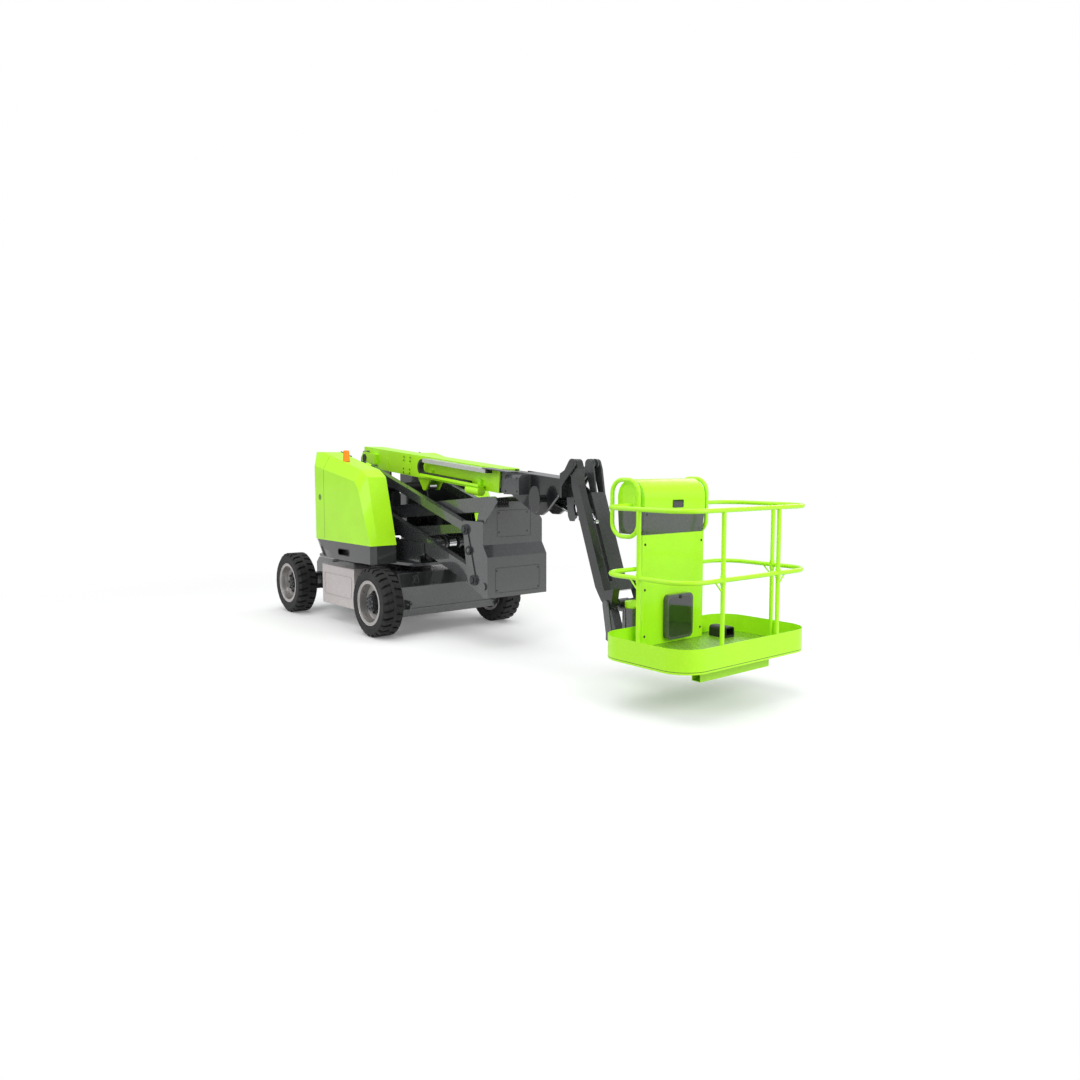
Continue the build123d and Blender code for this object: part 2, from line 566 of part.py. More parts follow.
guide_low = 112.0
fly = fly + lay(box(2610, 2860, -fly_half - 130, -fly_half - 9, guide_low, guide_low + 10))
fly = fly + lay(box(2470, 2612, -fly_half - 130, -boom_half - 12, guide_low, guide_low + 10))
guide_box = prism_x([(-236, 1500), (-114, 1500), (-113, 1682), (-200, 1682), (-236, 1650)], 2470, 2700)
fly = fly + (guide_box - prism_x([(-230, 1506), (-120, 1506), (-120, 1676), (-198, 1676), (-230, 1647)], 2464, 2694))
disc = Pos(2905, -214, 1463) * (Rot(90, 0, 0) * extrude(Ellipse(78, 122), amount=8))
fly = fly + disc + cyl_y(34, 2905, 1470, -216, -fly_half - 9)
put(fly, "fly_boom")

# jib base, kept level by its own cylinder: tongue on the nose pin, clevises for the arm, the link and the ram
jib_base_x = 3300.0
jib_base_z = 1650.0
level_eye_x = 3231.0
level_eye_z = 1327.0
tongue_pts = [(3100, 1560), (3120, 1640), (3160, 1680), (3225, 1702), (3260, 1700), (3260, 1400), (3280, 1330), (3250, 1280),
              (3210, 1280), (3185, 1320), (3165, 1500)]
tongue = both(prism_y(tongue_pts, 44, 66)) + box(3230, 3254, -66, 66, 1420, 1500)
tongue = tongue + both(cyl_y(60, nose_pin_x, nose_pin_z, 44, 80))
tongue = tongue - cyl_y(36 + fit, nose_pin_x, nose_pin_z, -200, 200)


def upper_ear(y0, y1):
    arm = prism_y([(3232, 1560), (3300, 1640), (3380, 1715), (3420, 1752), (3350, 1812), (3290, 1728), (3232, 1700)], y0, y1)
    return arm + cyl_y(46, jib_arm_pin_x, jib_arm_pin_z, y0, y1)


def lower_ear(y0, y1):
    arm = prism_y([(3232, 1492), (3262, 1478), (3305, 1434), (3355, 1496), (3300, 1560), (3232, 1600)], y0, y1)
    return arm + cyl_y(40, jib_link_pin_x, jib_link_pin_z, y0, y1)


def ram_ear(y0, y1):
    arm = prism_y([(3232, 1590), (3290, 1624), (3290, 1676), (3232, 1700)], y0, y1)
    return arm + cyl_y(28, jib_base_x, jib_base_z, y0, y1)


base = tongue + box(3230, 3254, leg_outer - 17, link_far + 18, 1490, 1702)
base = base + upper_ear(leg_outer - 17, leg_outer - 5) + upper_ear(beam_near + 73, beam_near + 89)
base = base + upper_ear(beam_far - 42, beam_far - 26)
base = base + lower_ear(ram_y - 40, ram_y - 28) + lower_ear(link_near - 18, link_near - 6) + lower_ear(link_far + 6, link_far + 18)
base = base + ram_ear(ram_y - 39, ram_y - 27) + ram_ear(ram_y + 27, ram_y + 39)
base = base + cyl_y(26, jib_arm_pin_x, jib_arm_pin_z, leg_outer - 19, leg_inner - 3)
base = base + cyl_y(26, jib_arm_pin_x, jib_arm_pin_z, beam_near + 51, beam_far)
base = base + cyl_y(18, jib_link_pin_x, jib_link_pin_z, ram_y - 46, link_far + 20)
base = base + cyl_y(12, jib_base_x, jib_base_z, ram_y - 40, ram_y + 40)
put(base, "jib_base")

# jib arm: a near leg and a wider box beam joined by a cross box at the foot; below them the levelling link
low_arm_x = jib_arm_pin_x + jib_reach
low_arm_z = jib_arm_pin_z - jib_drop
low_link_x = jib_link_pin_x + jib_reach
low_link_z = jib_link_pin_z - jib_drop
jib_length = math.hypot(jib_reach, jib_drop)
jib_lean = math.degrees(math.atan2(jib_drop, jib_reach))


# shapes drawn along the stowed arm: u down the arm from its upper pin, w toward the front
def on_jib(shape):
    return Pos(jib_arm_pin_x, 0, jib_arm_pin_z) * (Rot(0, jib_lean, 0) * shape)


leg = prism_y([(0, -44), (190, -86), (1060, -jib_depth), (1180, -58), (jib_length + 48, -10), (jib_length + 36, 40), (1130, 118), (1115, 8),
               (190, 4), (60, 44), (0, 44)], leg_outer, leg_inner) + cyl_y(44, 0, 0, leg_outer, leg_inner)
leg = leg + cyl_y(52, jib_length, 0, leg_outer, leg_inner)
beam = box(258, 1120, beam_near, beam_far, -62, 4)
beam = beam - box(264, 1090, beam_near + 6, beam_far - 6, -56, -2)
for y0, y1 in ((beam_near + 51, beam_near + 67), (beam_far - 20, beam_far)):
    fork = prism_y([(0, -44), (270, -62), (270, 4), (60, 44), (0, 44)], y0, y1) + cyl_y(44, 0, 0, y0, y1)
    beam = beam + fork
foot = box(1040, 1126, leg_inner - 2, lug_far - 1, -62, 4)
far_lug = prism_y([(1040, -62), (jib_length + 20, -46), (jib_length + 46, 10), (1130, 60), (1040, 4)], lug_far - 12, lug_far)
far_lug = far_lug + cyl_y(52, jib_length, 0, lug_far - 12, lug_far)
jib_arm = leg + beam + foot + far_lug
jib_arm = jib_arm - cyl_y(26 + fit, 0, 0, -300, 300) - cyl_y(26 + fit, jib_length, 0, -300, 300)
put(on_jib(jib_arm), "jib_arm")
jib_link = bar(jib_link_pin_x, jib_link_pin_z, low_link_x, low_link_z, link_depth, link_near, link_far)
jib_link = jib_link - cyl_y(18 + fit, jib_link_pin_x, jib_link_pin_z, -200, 200) - cyl_y(18 + fit, low_link_x, low_link_z, -200, 200)
put(jib_link, "jib_link")

# platform support: side straps on the arm's foot pin, link lugs and the upright rotator housing
strap_near = leg_outer - 17
strap_far = lug_far + 17
support = bar(low_arm_x, low_arm_z, low_arm_x + 50, 352, 70, strap_near, leg_outer - 5)
support = support + bar(low_arm_x, low_arm_z, low_arm_x + 50, 352, 70, lug_far + 5, strap_far)
support = support + box(3815, 3858, strap_near, strap_far, 330, 408)
for y0, y1 in ((link_near - 18, link_near - 6), (link_far + 6, link_far + 18)):
    support = support + cyl_y(40, low_link_x, low_link_z, y0, y1)
    support = support + prism_y([(low_link_x, 275), (3830, 330), (3858, 408), (3800, 400), (low_link_x - 20, 350)], y0, y1)
support = support + cyl_y(26, low_arm_x, low_arm_z, strap_near - 2, strap_far + 2) + cyl_y(34, low_arm_x, low_arm_z, -60, 60)
support = support + cyl_y(18, low_link_x, low_link_z, link_near - 20, link_far + 20)
support = support + box(3812, 3900, -60, 60, 560, 600)
support = support + cyl_z(rotator_radius, rotator_x, 0, 400, 600)
put(support, "platform_support")


# cylinders: a barrel that turns on its base pin and a rod that slides in it, drawn as they stand stowed
def ram_frame(px, pz, qx, qz):
    lean = math.degrees(math.atan2(qz - pz, qx - px))
    return Pos(px, 0, pz) * Rot(0, -lean, 0)


def barrel(px, pz, qx, qz, length, radius, bore, base_bore, eye_half):
    tube = cyl_x(radius, 0, 0, base_bore + 14, length) - cyl_x(bore, 0, 0, base_bore + 34, length + 1)
    eye = cyl_y(base_bore + 16, 0, 0, -eye_half, eye_half)
    neck = box(0, base_bore + 30, -eye_half, eye_half, -base_bore - 10, base_bore + 10)
    collar = cyl_x(radius + 3, 0, 0, length - 26, length) - cyl_x(bore, 0, 0, length - 30, length + 1)
    solid = tube + eye + neck + collar
    solid = solid - cyl_y(base_bore, 0, 0, -200, 200)
    return ram_frame(px, pz, qx, qz) * solid


def rod(px, pz, qx, qz, rod_length, radius, eye_radius, eye_half, bore_radius):
    reach = math.hypot(qx - px, qz - pz)
    solid = cyl_x(radius, 0, 0, reach - rod_length, reach - eye_radius + 8)
    solid = solid + cyl_y(eye_radius, reach, 0, -eye_half, eye_half)
    solid = solid - cyl_y(bore_radius, reach, 0, -200, 200)
    return ram_frame(px, pz, qx, qz) * solid


riser_barrel = barrel(riser_base_x, riser_base_z, riser_eye_x, riser_eye_z, 1150, 52, 36 + fit, 24 + fit, 48)
put(riser_barrel, "riser_barrel")
put(rod(riser_base_x, riser_base_z, riser_eye_x, riser_eye_z, 780, 36, 46, 44, 26), "riser_rod")
boom_barrel = barrel(boom_base_x, boom_base_z, eye_x, eye_z, 1030, 50, 34 + fit, 24 + fit, 46)
put(boom_barrel, "boom_barrel")
put(rod(boom_base_x, boom_base_z, eye_x, eye_z, 600, 34, 42, 44, 24), "boom_rod")
level_barrel = barrel(level_base_x, level_base_z, level_eye_x, level_eye_z, 540, 32, 20 + fit, 18 + fit, 26)
put(level_barrel, "level_barrel")
put(rod(level_base_x, level_base_z, level_eye_x, level_eye_z, 520, 20, 30, 24, 18), "level_rod")
ram_reach = 520.0
jib_eye_x = jib_arm_pin_x + ram_reach * jib_reach / jib_length
jib_eye_z = jib_arm_pin_z - ram_reach * jib_drop / jib_length
jib_barrel = Pos(0, ram_y, 0) * barrel(jib_base_x, jib_base_z, jib_eye_x, jib_eye_z, 360, 20, 12 + fit, 12 + fit, 16)
put(jib_barrel, "jib_barrel")
jib_rod = Pos(0, ram_y, 0) * rod(jib_base_x, jib_base_z, jib_eye_x, jib_eye_z, 390, 12, 20, 16, 10)
put(jib_rod, "jib_rod")


# cable chain and its covers along the right side of the boom
chain_near = -212.0
chain_far = -152.0
chain_u = 1337.0
chain_w = 18.5
chain_bend = 86.5
chain_thick = 32.0
link_pitch = 104.0
link_gap = 9.0
upper_w = chain_w + chain_bend
lower_w = chain_w - chain_bend
chain = box(chain_u, 2520, chain_near, chain_far, upper_w - chain_thick, upper_w - 4)
chain = chain + box(chain_u, 2190, chain_near, chain_far, lower_w + 4, lower_w + chain_thick)
for i in range(8):
    start = chain_u + 4 + i * link_pitch
    chain = chain + box(start, start + link_pitch - link_gap, chain_near, chain_far, lower_w, lower_w + 5)
bend_angles = [90 + 30 * i for i in range(7)]
outer_pts = [(chain_u + (chain_bend - 4) * math.cos(math.radians(a)), chain_w + (chain_bend - 4) * math.sin(math.radians(a)))
             for a in bend_angles]
inner_pts = [(chain_u + (chain_bend - chain_thick) * math.cos(math.radians(a)),
              chain_w + (chain_bend - chain_thick) * math.sin(math.radians(a))) for a in reversed(bend_angles)]
bend = prism_y(outer_pts + inner_pts, chain_near, chain_far)
for i in range(6):
    link = box(-17, 17, chain_near, chain_far, chain_bend - 14, chain_bend - 3.5)
    bend = bend + Pos(chain_u, 0, chain_w) * (Rot(0, -15 - 30 * i, 0) * link)
put(lay(chain + bend), "cable_chain")
cover_top = guide_low - seat_gap
cover = box(chain_u + 30, 2500, chain_near - 12, -boom_half - 8, upper_w + 1, cover_top)
cover = cover + box(chain_u + 30, 2500, chain_near - 12, chain_near - 7, upper_w - 34, cover_top)
put(lay(cover), "chain_cover")
tray_top = chain_w - chain_bend - 0.3
tray = box(chain_u - 20, 2390, chain_near - 8, -boom_half - 8, tray_top - 6, tray_top)
tray = tray + box(chain_u - 20, 2390, chain_near - 8, chain_near - 4, tray_top - 6, tray_top + 20)
tray = tray + box(chain_u + 60, chain_u + 110, -boom_half - 30, -boom_half - 0.3, tray_top - 6, tray_top + 60)
tray = tray + box(2280, 2330, -boom_half - 30, -boom_half - 0.3, tray_top - 6, tray_top + 60)
tray = tray + cyl_x(46, -176, tray_top - 50, 2170, 2390)
put(lay(tray), "chain_tray")

# platform: floor, toe board, posts, rails and the console side, all one body
basket_x = (basket_rear + basket_front) / 2
basket_len = basket_front - basket_rear
basket_wide = basket_half * 2


def outline(inset):
    return RectangleRounded(basket_len - 2 * inset, basket_wide - 2 * inset, basket_corner - inset)


def loop(z, inset, dia):
    half_x = basket_len / 2 - inset
    half_y = basket_half - inset
    c = basket_corner - inset
    ring = both(cyl_x(dia / 2, half_y, z, basket_x - half_x + c, basket_x + half_x - c))
    ring = ring + cyl_y(dia / 2, basket_x - half_x, z, -half_y + c, half_y - c)
    ring = ring + cyl_y(dia / 2, basket_x + half_x, z, -half_y + c, half_y - c)
    bend = Torus(c, dia / 2) & Pos(c, c, 0) * Box(2 * c, 2 * c, dia * 2)
    for sx, sy, turn in ((1, 1, 0), (-1, 1, 90), (-1, -1, 180), (1, -1, 270)):
        centre = Pos(basket_x + sx * (half_x - c), sy * (half_y - c), z)
        ring = ring + centre * (Rot(0, 0, turn) * bend)
    return ring


toe = extrude(outline(0), amount=toe_top - toe_low) - extrude(outline(4), amount=toe_top)
put(Pos(basket_x, 0, toe_low) * toe, "toe_board")
floor_plate = extrude(outline(4.3), amount=6)
put(Pos(basket_x, 0, toe_low + 26) * floor_plate, "platform_floor")
top_loop = loop(top_rail_z, 20, rail_dia) - box(basket_rear - 60, basket_rear + 140, -hoop_y, hoop_y, 1400, 1500)
put(top_loop, "top_rail")
put(loop(mid_rail_z, 20, rail_dia), "mid_rail")
posts = []
post_r = 16
rail_in = 20
brace_drop = 92.0
side_y = basket_half - rail_in
front_x = basket_front - rail_in
for px, py in ((front_x, 290), (front_x, -345), (4690, -side_y), (4772, side_y)):
    posts.append(cyl_z(post_r, px, py, toe_low + 33, top_rail_z))
posts.append(rod_between(front_x, -345, mid_rail_z - brace_drop, front_x, -345 - brace_drop, mid_rail_z, 6))
posts.append(rod_between(front_x, 290, mid_rail_z - brace_drop, front_x, 290 + brace_drop, mid_rail_z, 6))
posts.append(rod_between(4690, -side_y, mid_rail_z - brace_drop, 4690 - brace_drop, -side_y, mid_rail_z, 6))
posts.append(rod_between(4772, side_y, mid_rail_z - brace_drop, 4772 - brace_drop, side_y, mid_rail_z, 6))
for px, py in ((front_x - 4, -345), (front_x - 4, 290)):
    posts.append(prism_y([(px - 70, toe_low + 33), (px, toe_low + 33), (px, toe_low + 150)], py - 3, py + 3))
group = posts[0]
for post in posts[1:]:
    group = group + post
group = group - loop(top_rail_z, 20, rail_dia + 0.6) - loop(mid_rail_z, 20, rail_dia + 0.6)
put(group, "guard_posts")

# console side: panel, half-round hood, console and the two D hoops that guard them
hoop_points = [(hoop_rear, hoop_low), (panel_x, hoop_low), (panel_x, hoop_top), (hoop_rear, hoop_top)]


def hoop(y):
    corners = FilletPolyline(*[(x, y, z) for x, z in hoop_points], radius=110, close=True)
    return sweep(Plane(origin=corners @ 0, z_dir=corners % 0) * Circle(rail_dia / 2), path=corners)


panel = box(panel_x, panel_x + 10, -panel_half, panel_half, toe_low + 33, 1242)
panel = panel + both(box(panel_x - 30, panel_x + 10, panel_half - 8, panel_half, toe_low + 33, 1242))
console = prism_y([(4110, 1242.3), (panel_x, 1242.3), (panel_x + 22, 1420), (4096, 1420)], -346, 346)
put(console, "console_body")
crown_x = (4096 + panel_x + 22) / 2
crown_r = (panel_x + 22 - 4096) / 2
crown_z = hoop_top - crown_r + 4
hood_out = cyl_y(crown_r, crown_x, crown_z, -348, 348) & box(4000, 4500, -400, 400, crown_z, 1800)
hood_out = hood_out + box(4096, panel_x + 22, -348, 348, 1420.3, crown_z)
hollow = cyl_y(crown_r - 6, crown_x, crown_z, -336, 336) & box(4000, 4500, -400, 400, crown_z - 0.1, 1800)
hollow = hollow + box(4102, panel_x + 16, -336, 336, 1400, crown_z)
hood_out = hood_out - hollow
tie = both(box(4300, 4330, 340, hoop_y, 1500, 1530))
put(panel + hood_out + both(hoop(hoop_y)) + tie, "console_panel")
document = Pos(panel_x + 32, 35, 588) * (Rot(0, 90, 0) * extrude(RectangleRounded(355, 300, 45), amount=22, both=True))
put(document, "document_box")
pedal = box(4390, 4560, 420, 530, toe_low + 32.3, toe_low + 118)
pedal = fillet(pedal.edges().filter_by(Axis.X).group_by(Axis.Z)[-1], 26)
pedal = pedal - box(4410, 4561, 430, 520, toe_low + 50, toe_low + 106)
put(pedal, "pedal_guard")
beam = box(4915, 4995, -400, 400, 236, toe_low + 25.7)
beam = beam - box(4921, 4989, -401, 401, 242, toe_low + 26)
disc_r = rotator_radius - 20
bracket = cyl_z(disc_r, rotator_x, 0, 600 + seat_gap, 650) + cyl_z(disc_r, rotator_x, 0, 300, 400 - seat_gap)
bracket = bracket + box(rotator_x, 4915, -60, 60, 302, toe_low - 0.3) + box(rotator_x, panel_x - 0.3, -60, 60, 616, 644)
bracket = bracket + beam
put(bracket, "platform_bracket")
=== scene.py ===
# Looks of the boom lift: materials, small pieces, camera, floor and light.
# Lengths are in metres, in the frame of the solids: x forward, y left, z up.
import bpy
import bmesh
import json
import math
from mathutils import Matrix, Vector
from mathutils.bvhtree import BVHTree


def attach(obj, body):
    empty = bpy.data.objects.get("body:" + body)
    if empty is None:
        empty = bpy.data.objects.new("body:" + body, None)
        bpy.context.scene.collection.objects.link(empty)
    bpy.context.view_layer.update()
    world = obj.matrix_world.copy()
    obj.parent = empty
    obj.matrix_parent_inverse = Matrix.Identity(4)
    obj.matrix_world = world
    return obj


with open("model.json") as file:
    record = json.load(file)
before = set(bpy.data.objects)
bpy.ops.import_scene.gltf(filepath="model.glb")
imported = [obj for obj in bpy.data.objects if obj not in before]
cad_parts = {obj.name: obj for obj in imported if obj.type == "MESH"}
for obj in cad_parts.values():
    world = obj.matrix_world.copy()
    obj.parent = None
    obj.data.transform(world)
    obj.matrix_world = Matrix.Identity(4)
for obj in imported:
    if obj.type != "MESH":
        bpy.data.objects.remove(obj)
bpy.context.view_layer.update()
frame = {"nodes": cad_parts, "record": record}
nodes = frame["nodes"]
scene = bpy.context.scene
scene.view_settings.view_transform = "Standard"

FORWARD, LEFT, RIGHT, UP = (1, 0, 0), (0, 1, 0), (0, -1, 0), (0, 0, 1)
SIDES = (("left", 1), ("right", -1))
AXLES = (("drive", 1.0), ("steer", -1.0))
AXLE_Z = 0.354

OFF, FULL = (0, 0, 0), (1, 1, 1)
WHITE = (1, 1, 1, 1)
DUST = (0.30, 0.29, 0.27)
LIME = (0.430, 0.900, 0.010)


# materials, all made from nodes
def new_material(name):
    """A material that holds one Principled node, with its tree."""
    mat = bpy.data.materials.new(name)
    mat.use_nodes = True
    tree = mat.node_tree
    tree.nodes.clear()
    out = tree.nodes.new("ShaderNodeOutputMaterial")
    bsdf = tree.nodes.new("ShaderNodeBsdfPrincipled")
    tree.links.new(bsdf.outputs[0], out.inputs[0])
    return mat, tree, bsdf


def find_node(tree, kind):
    return [n for n in tree.nodes if n.bl_idname == "ShaderNode" + kind][0]


def noise(tree, scale, detail, rough=0.55):
    coord = tree.nodes.new("ShaderNodeTexCoord")
    tex = tree.nodes.new("ShaderNodeTexNoise")
    tex.inputs["Scale"].default_value = scale
    tex.inputs["Detail"].default_value = detail
    tex.inputs["Roughness"].default_value = rough
    tree.links.new(coord.outputs["Object"], tex.inputs["Vector"])
    return tex.outputs["Fac"]


def ramp(tree, source, stops):
    """Colours between two stops, each a place and a colour."""
    node = tree.nodes.new("ShaderNodeValToRGB")
    for element, (spot, colour) in zip(node.color_ramp.elements, stops):
        element.position = spot
        element.color = (*colour, 1.0)
    tree.links.new(source, node.inputs[0])
    return node.outputs[0]


def mix(tree, factor, before, colour):
    """A fixed colour laid over the one before, by the factor."""
    node = tree.nodes.new("ShaderNodeMix")
    node.data_type = "RGBA"
    tree.links.new(factor, node.inputs[0])
    tree.links.new(before, node.inputs[6])
    node.inputs[7].default_value = (*colour, 1)
    return node.outputs[2]


def bump(tree, bsdf, source, strength, distance):
    node = tree.nodes.new("ShaderNodeBump")
    node.inputs["Strength"].default_value = strength
    node.inputs["Distance"].default_value = distance
    tree.links.new(source, node.inputs["Height"])
    tree.links.new(node.outputs[0], bsdf.inputs["Normal"])


def calc(tree, operation, one, two=None):
    """One sum, on numbers or on sockets."""
    node = tree.nodes.new("ShaderNodeMath")
    node.operation = operation
    for k, value in enumerate((one, two)):
        if isinstance(value, (int, float)):
            node.inputs[k].default_value = value
        elif value is not None:
            tree.links.new(value, node.inputs[k])
    return node.outputs[0]


def squares(tree, one, two):
    return calc(tree, "ADD", calc(tree, "POWER", one, 2), calc(tree, "POWER", two, 2))


def near(tree, value, middle, half):
    """1 where the value is less than half away from the middle."""
    off = calc(tree, "ABSOLUTE", calc(tree, "SUBTRACT", value, middle))
    return calc(tree, "LESS_THAN", off, half)


def off_middle(tree, value, step):
    """How far a value is from the middle of its step."""
    return calc(tree, "SUBTRACT", calc(tree, "PINGPONG", value, step), step / 2)


def place(tree):
    """The x, y and z of the shaded point."""
    coord = tree.nodes.new("ShaderNodeTexCoord")
    split = tree.nodes.new("ShaderNodeSeparateXYZ")
    tree.links.new(coord.outputs["Object"], split.inputs[0])
    return split.outputs[0], split.outputs[1], split.outputs[2]


def over(mat, mask, colour):
    """Lay a colour over a material where the mask is 1."""
    tree = mat.node_tree
    base = find_node(tree, "BsdfPrincipled").inputs["Base Color"]
    tree.links.new(mix(tree, mask, base.links[0].from_socket, colour), base)


def wear(tree, bsdf, base, edge, dust, amount):
    """Base colour in faint large patches, worn where edges stick out, with a little dust."""
    dull = [c * 0.955 for c in base]
    bright = [min(c * 1.03, 1) for c in base]
    body = ramp(tree, noise(tree, 2.3, 5.0), [(0.3, dull), (0.7, bright)])
    geometry = tree.nodes.new("ShaderNodeNewGeometry")
    edges = ramp(tree, geometry.outputs["Pointiness"], [(0.515, OFF), (0.56, FULL)])
    grit = ramp(tree, noise(tree, 60.0, 6.0, 0.7), [(0.5, OFF), (0.62, FULL)])
    worn = calc(tree, "MULTIPLY", calc(tree, "MULTIPLY", edges, grit), amount)
    dusty = ramp(tree, noise(tree, 7.0, 3.0, 0.5), [(0.45, OFF), (0.85, (dust, dust, dust))])
    colour = mix(tree, dusty, mix(tree, worn, body, edge), DUST)
    tree.links.new(colour, bsdf.inputs["Base Color"])


def paint(name, base, rough=0.32, coat=0.6, metallic=0.0, peel=0.0004, dust=0.05,
          amount=0.35, spec=0.5):
    """Paint with worn edges and uneven gloss; peel is the depth of its skin."""
    mat, tree, bsdf = new_material(name)
    wear(tree, bsdf, base, [min(c * 1.5 + 0.03, 1) for c in base], dust, amount)
    bsdf.inputs["Metallic"].default_value = metallic
    bsdf.inputs["Coat Weight"].default_value = coat
    bsdf.inputs["Coat Roughness"].default_value = 0.06
    bsdf.inputs["Specular IOR Level"].default_value = spec
    glossy, matt = [rough * 0.88] * 3, [min(rough * 1.15, 1)] * 3
    uneven = ramp(tree, noise(tree, 14.0, 5.0), [(0.3, glossy), (0.75, matt)])
    tree.links.new(uneven, bsdf.inputs["Roughness"])
    bump(tree, bsdf, noise(tree, 240.0, 2.0), 0.07, peel)
    return mat


lime = paint("lime_paint", LIME, 0.38, 0.22, dust=0.0, amount=0.2, spec=0.32)
dark = paint("dark_paint", (0.038, 0.040, 0.042), 0.28, 0.7, dust=0.01)
slate = paint("slate_paint", (0.010, 0.012, 0.012), 0.32, 0.5, dust=0.01, amount=0.15)
silver = paint("silver_paint", (0.54, 0.495, 0.485), 0.36, 0.3, 0.2, dust=0.04)
rim_paint = paint("rim_silver", (0.36, 0.345, 0.335), 0.30, 0.3, 0.7, dust=0.05)
iron = paint("iron_paint", (0.030, 0.032, 0.036), 0.38, 0.1, 0.3, dust=0.06)
# lime darkened as painted shade, for the hoods' shut lines and latches and the boom's splice
# bolts
shade_lime = paint("lime_in_painted_shade", (0.12, 0.27, 0.006), 0.4, 0.2, dust=0.0, amount=0.0)
grey = paint("light_grey_paint", (0.42, 0.43, 0.41), 0.35, 0.3, dust=0.03)
black = paint("black_plastic", (0.012, 0.012, 0.013), 0.5, 0.0, peel=0.0012, dust=0.04)
chrome = paint("chrome_rod", (0.72, 0.73, 0.75), 0.10, 0.0, 1.0, peel=0.0001, dust=0.0,
               amount=0.0)
smoke = paint("smoke_panel", (0.060, 0.068, 0.060), 0.16, 0.6, dust=0.01)
amber = paint("amber_lens", (0.98, 0.27, 0.008), 0.42, 0.0, dust=0.0, amount=0.0, spec=0.3)
rubber_line = paint("black_rubber", (0.008, 0.008, 0.008), 0.6, 0.0, peel=0.0008, dust=0.02,
                    spec=0.2)
glass = paint("display_glass", (0.010, 0.012, 0.014), 0.06, 1.0, peel=0.0001, dust=0.0,
              amount=0.0)
for deep_gloss in (dark, slate):
    bsdf = find_node(deep_gloss.node_tree, "BsdfPrincipled")
    bsdf.inputs["Coat IOR"].default_value = 1.7
    bsdf.inputs["Coat Roughness"].default_value = 0.05

TYRE_MID_Y = 0.755
TREAD_R, WALL_R = 0.346, 0.300
LUGS = 26
HALF_LUG_MM = 43.0
GROOVE_Y, GROOVE_SWING, GROOVE_HALF = 0.022, 0.028, 0.0026
SIPE_SLANT, SIPE_HALF, SIPE_FROM_Y = 9.0, 0.035, 0.040
HOLE_STEP_Y, HOLE_R_MM = 0.016, 3.0
WALL_RING_STEP, WALL_RING_HALF = 0.012, 0.0015


def tyre_material(name, axle_x):
    """Rubber with sipes, small holes and zigzag grooves on the tread, and rings on the wall, all
    painted darker as painted shade in the cuts.
    """
    mat, tree, bsdf = new_material(name)
    wear(tree, bsdf, (0.016, 0.016, 0.017), (0.035, 0.035, 0.035), 0.05, 0.3)
    bsdf.inputs["Roughness"].default_value = 0.62
    bsdf.inputs["Specular IOR Level"].default_value = 0.3

    def sums(operation, one, two=None):
        return calc(tree, operation, one, two)

    # the point's radius, its lug round the tyre, and its distance from the tyre's middle
    x, y, z = place(tree)
    dx = sums("SUBTRACT", x, axle_x)
    dz = sums("SUBTRACT", z, AXLE_Z)
    radius = sums("SQRT", squares(tree, dx, dz))
    lug = sums("MULTIPLY", sums("ARCTAN2", dz, dx), LUGS / math.tau)
    half_lug = sums("MULTIPLY", lug, 2.0)
    across = sums("SUBTRACT", sums("ABSOLUTE", y), TYRE_MID_Y)
    aside = sums("ABSOLUTE", across)

    zigzag = sums("MULTIPLY", sums("PINGPONG", lug, 0.5), GROOVE_SWING)
    groove = near(tree, aside, sums("ADD", zigzag, GROOVE_Y), GROOVE_HALF)

    slant = sums("ADD", half_lug, sums("MULTIPLY", across, SIPE_SLANT))
    sipe = sums("LESS_THAN", sums("PINGPONG", slant, 0.5), SIPE_HALF)
    sipe = sums("MULTIPLY", sipe, sums("GREATER_THAN", aside, SIPE_FROM_Y))

    # one metre is added so that the value stays above nought
    round_mm = sums("MULTIPLY", off_middle(tree, half_lug, 0.5), HALF_LUG_MM)
    across_mm = sums("MULTIPLY", off_middle(tree, sums("ADD", across, 1.0), HOLE_STEP_Y), 1000.0)
    hole = sums("LESS_THAN", squares(tree, round_mm, across_mm), HOLE_R_MM ** 2)

    marks = sums("MAXIMUM", groove, sums("MAXIMUM", sipe, hole))
    tread = sums("MULTIPLY", marks, sums("GREATER_THAN", radius, TREAD_R))
    ring = sums("LESS_THAN", sums("PINGPONG", radius, WALL_RING_STEP), WALL_RING_HALF)
    ring = sums("MULTIPLY", ring, sums("LESS_THAN", radius, WALL_R))
    # the cuts and wall rings are painted darker as painted shade, and are also pressed in by the
    # bump
    cut_and_shade = sums("MAXIMUM", tread, sums("MULTIPLY", ring, 0.5))
    over(mat, cut_and_shade, (0.003, 0.003, 0.003))
    fine = noise(tree, 140.0, 6.0, 0.7)
    bump(tree, bsdf, sums("SUBTRACT", fine, sums("MULTIPLY", cut_and_shade, 3.0)), 0.5, 0.0012)
    return mat


rubber = {kind: tyre_material("tyre_rubber_" + kind, axle_x) for kind, axle_x in AXLES}

# expanded metal on the platform floor: rows of oval holes, painted dark as painted shade for the
# shadowed underside seen through them
MESH_X, MESH_Y = 0.031, 0.017
OVAL_X, OVAL_Y = 75.0, 150.0  # one over an oval's half length and half width
plate = paint("floor_plate", (0.36, 0.80, 0.010), 0.4, 0.2, dust=0.02)
tree = plate.node_tree
x, y = place(tree)[:2]
oval = squares(tree, calc(tree, "MULTIPLY", off_middle(tree, x, MESH_X), OVAL_X),
               calc(tree, "MULTIPLY", off_middle(tree, y, MESH_Y), OVAL_Y))
over(plate, calc(tree, "LESS_THAN", oval, 1.0), (0.020, 0.024, 0.018))

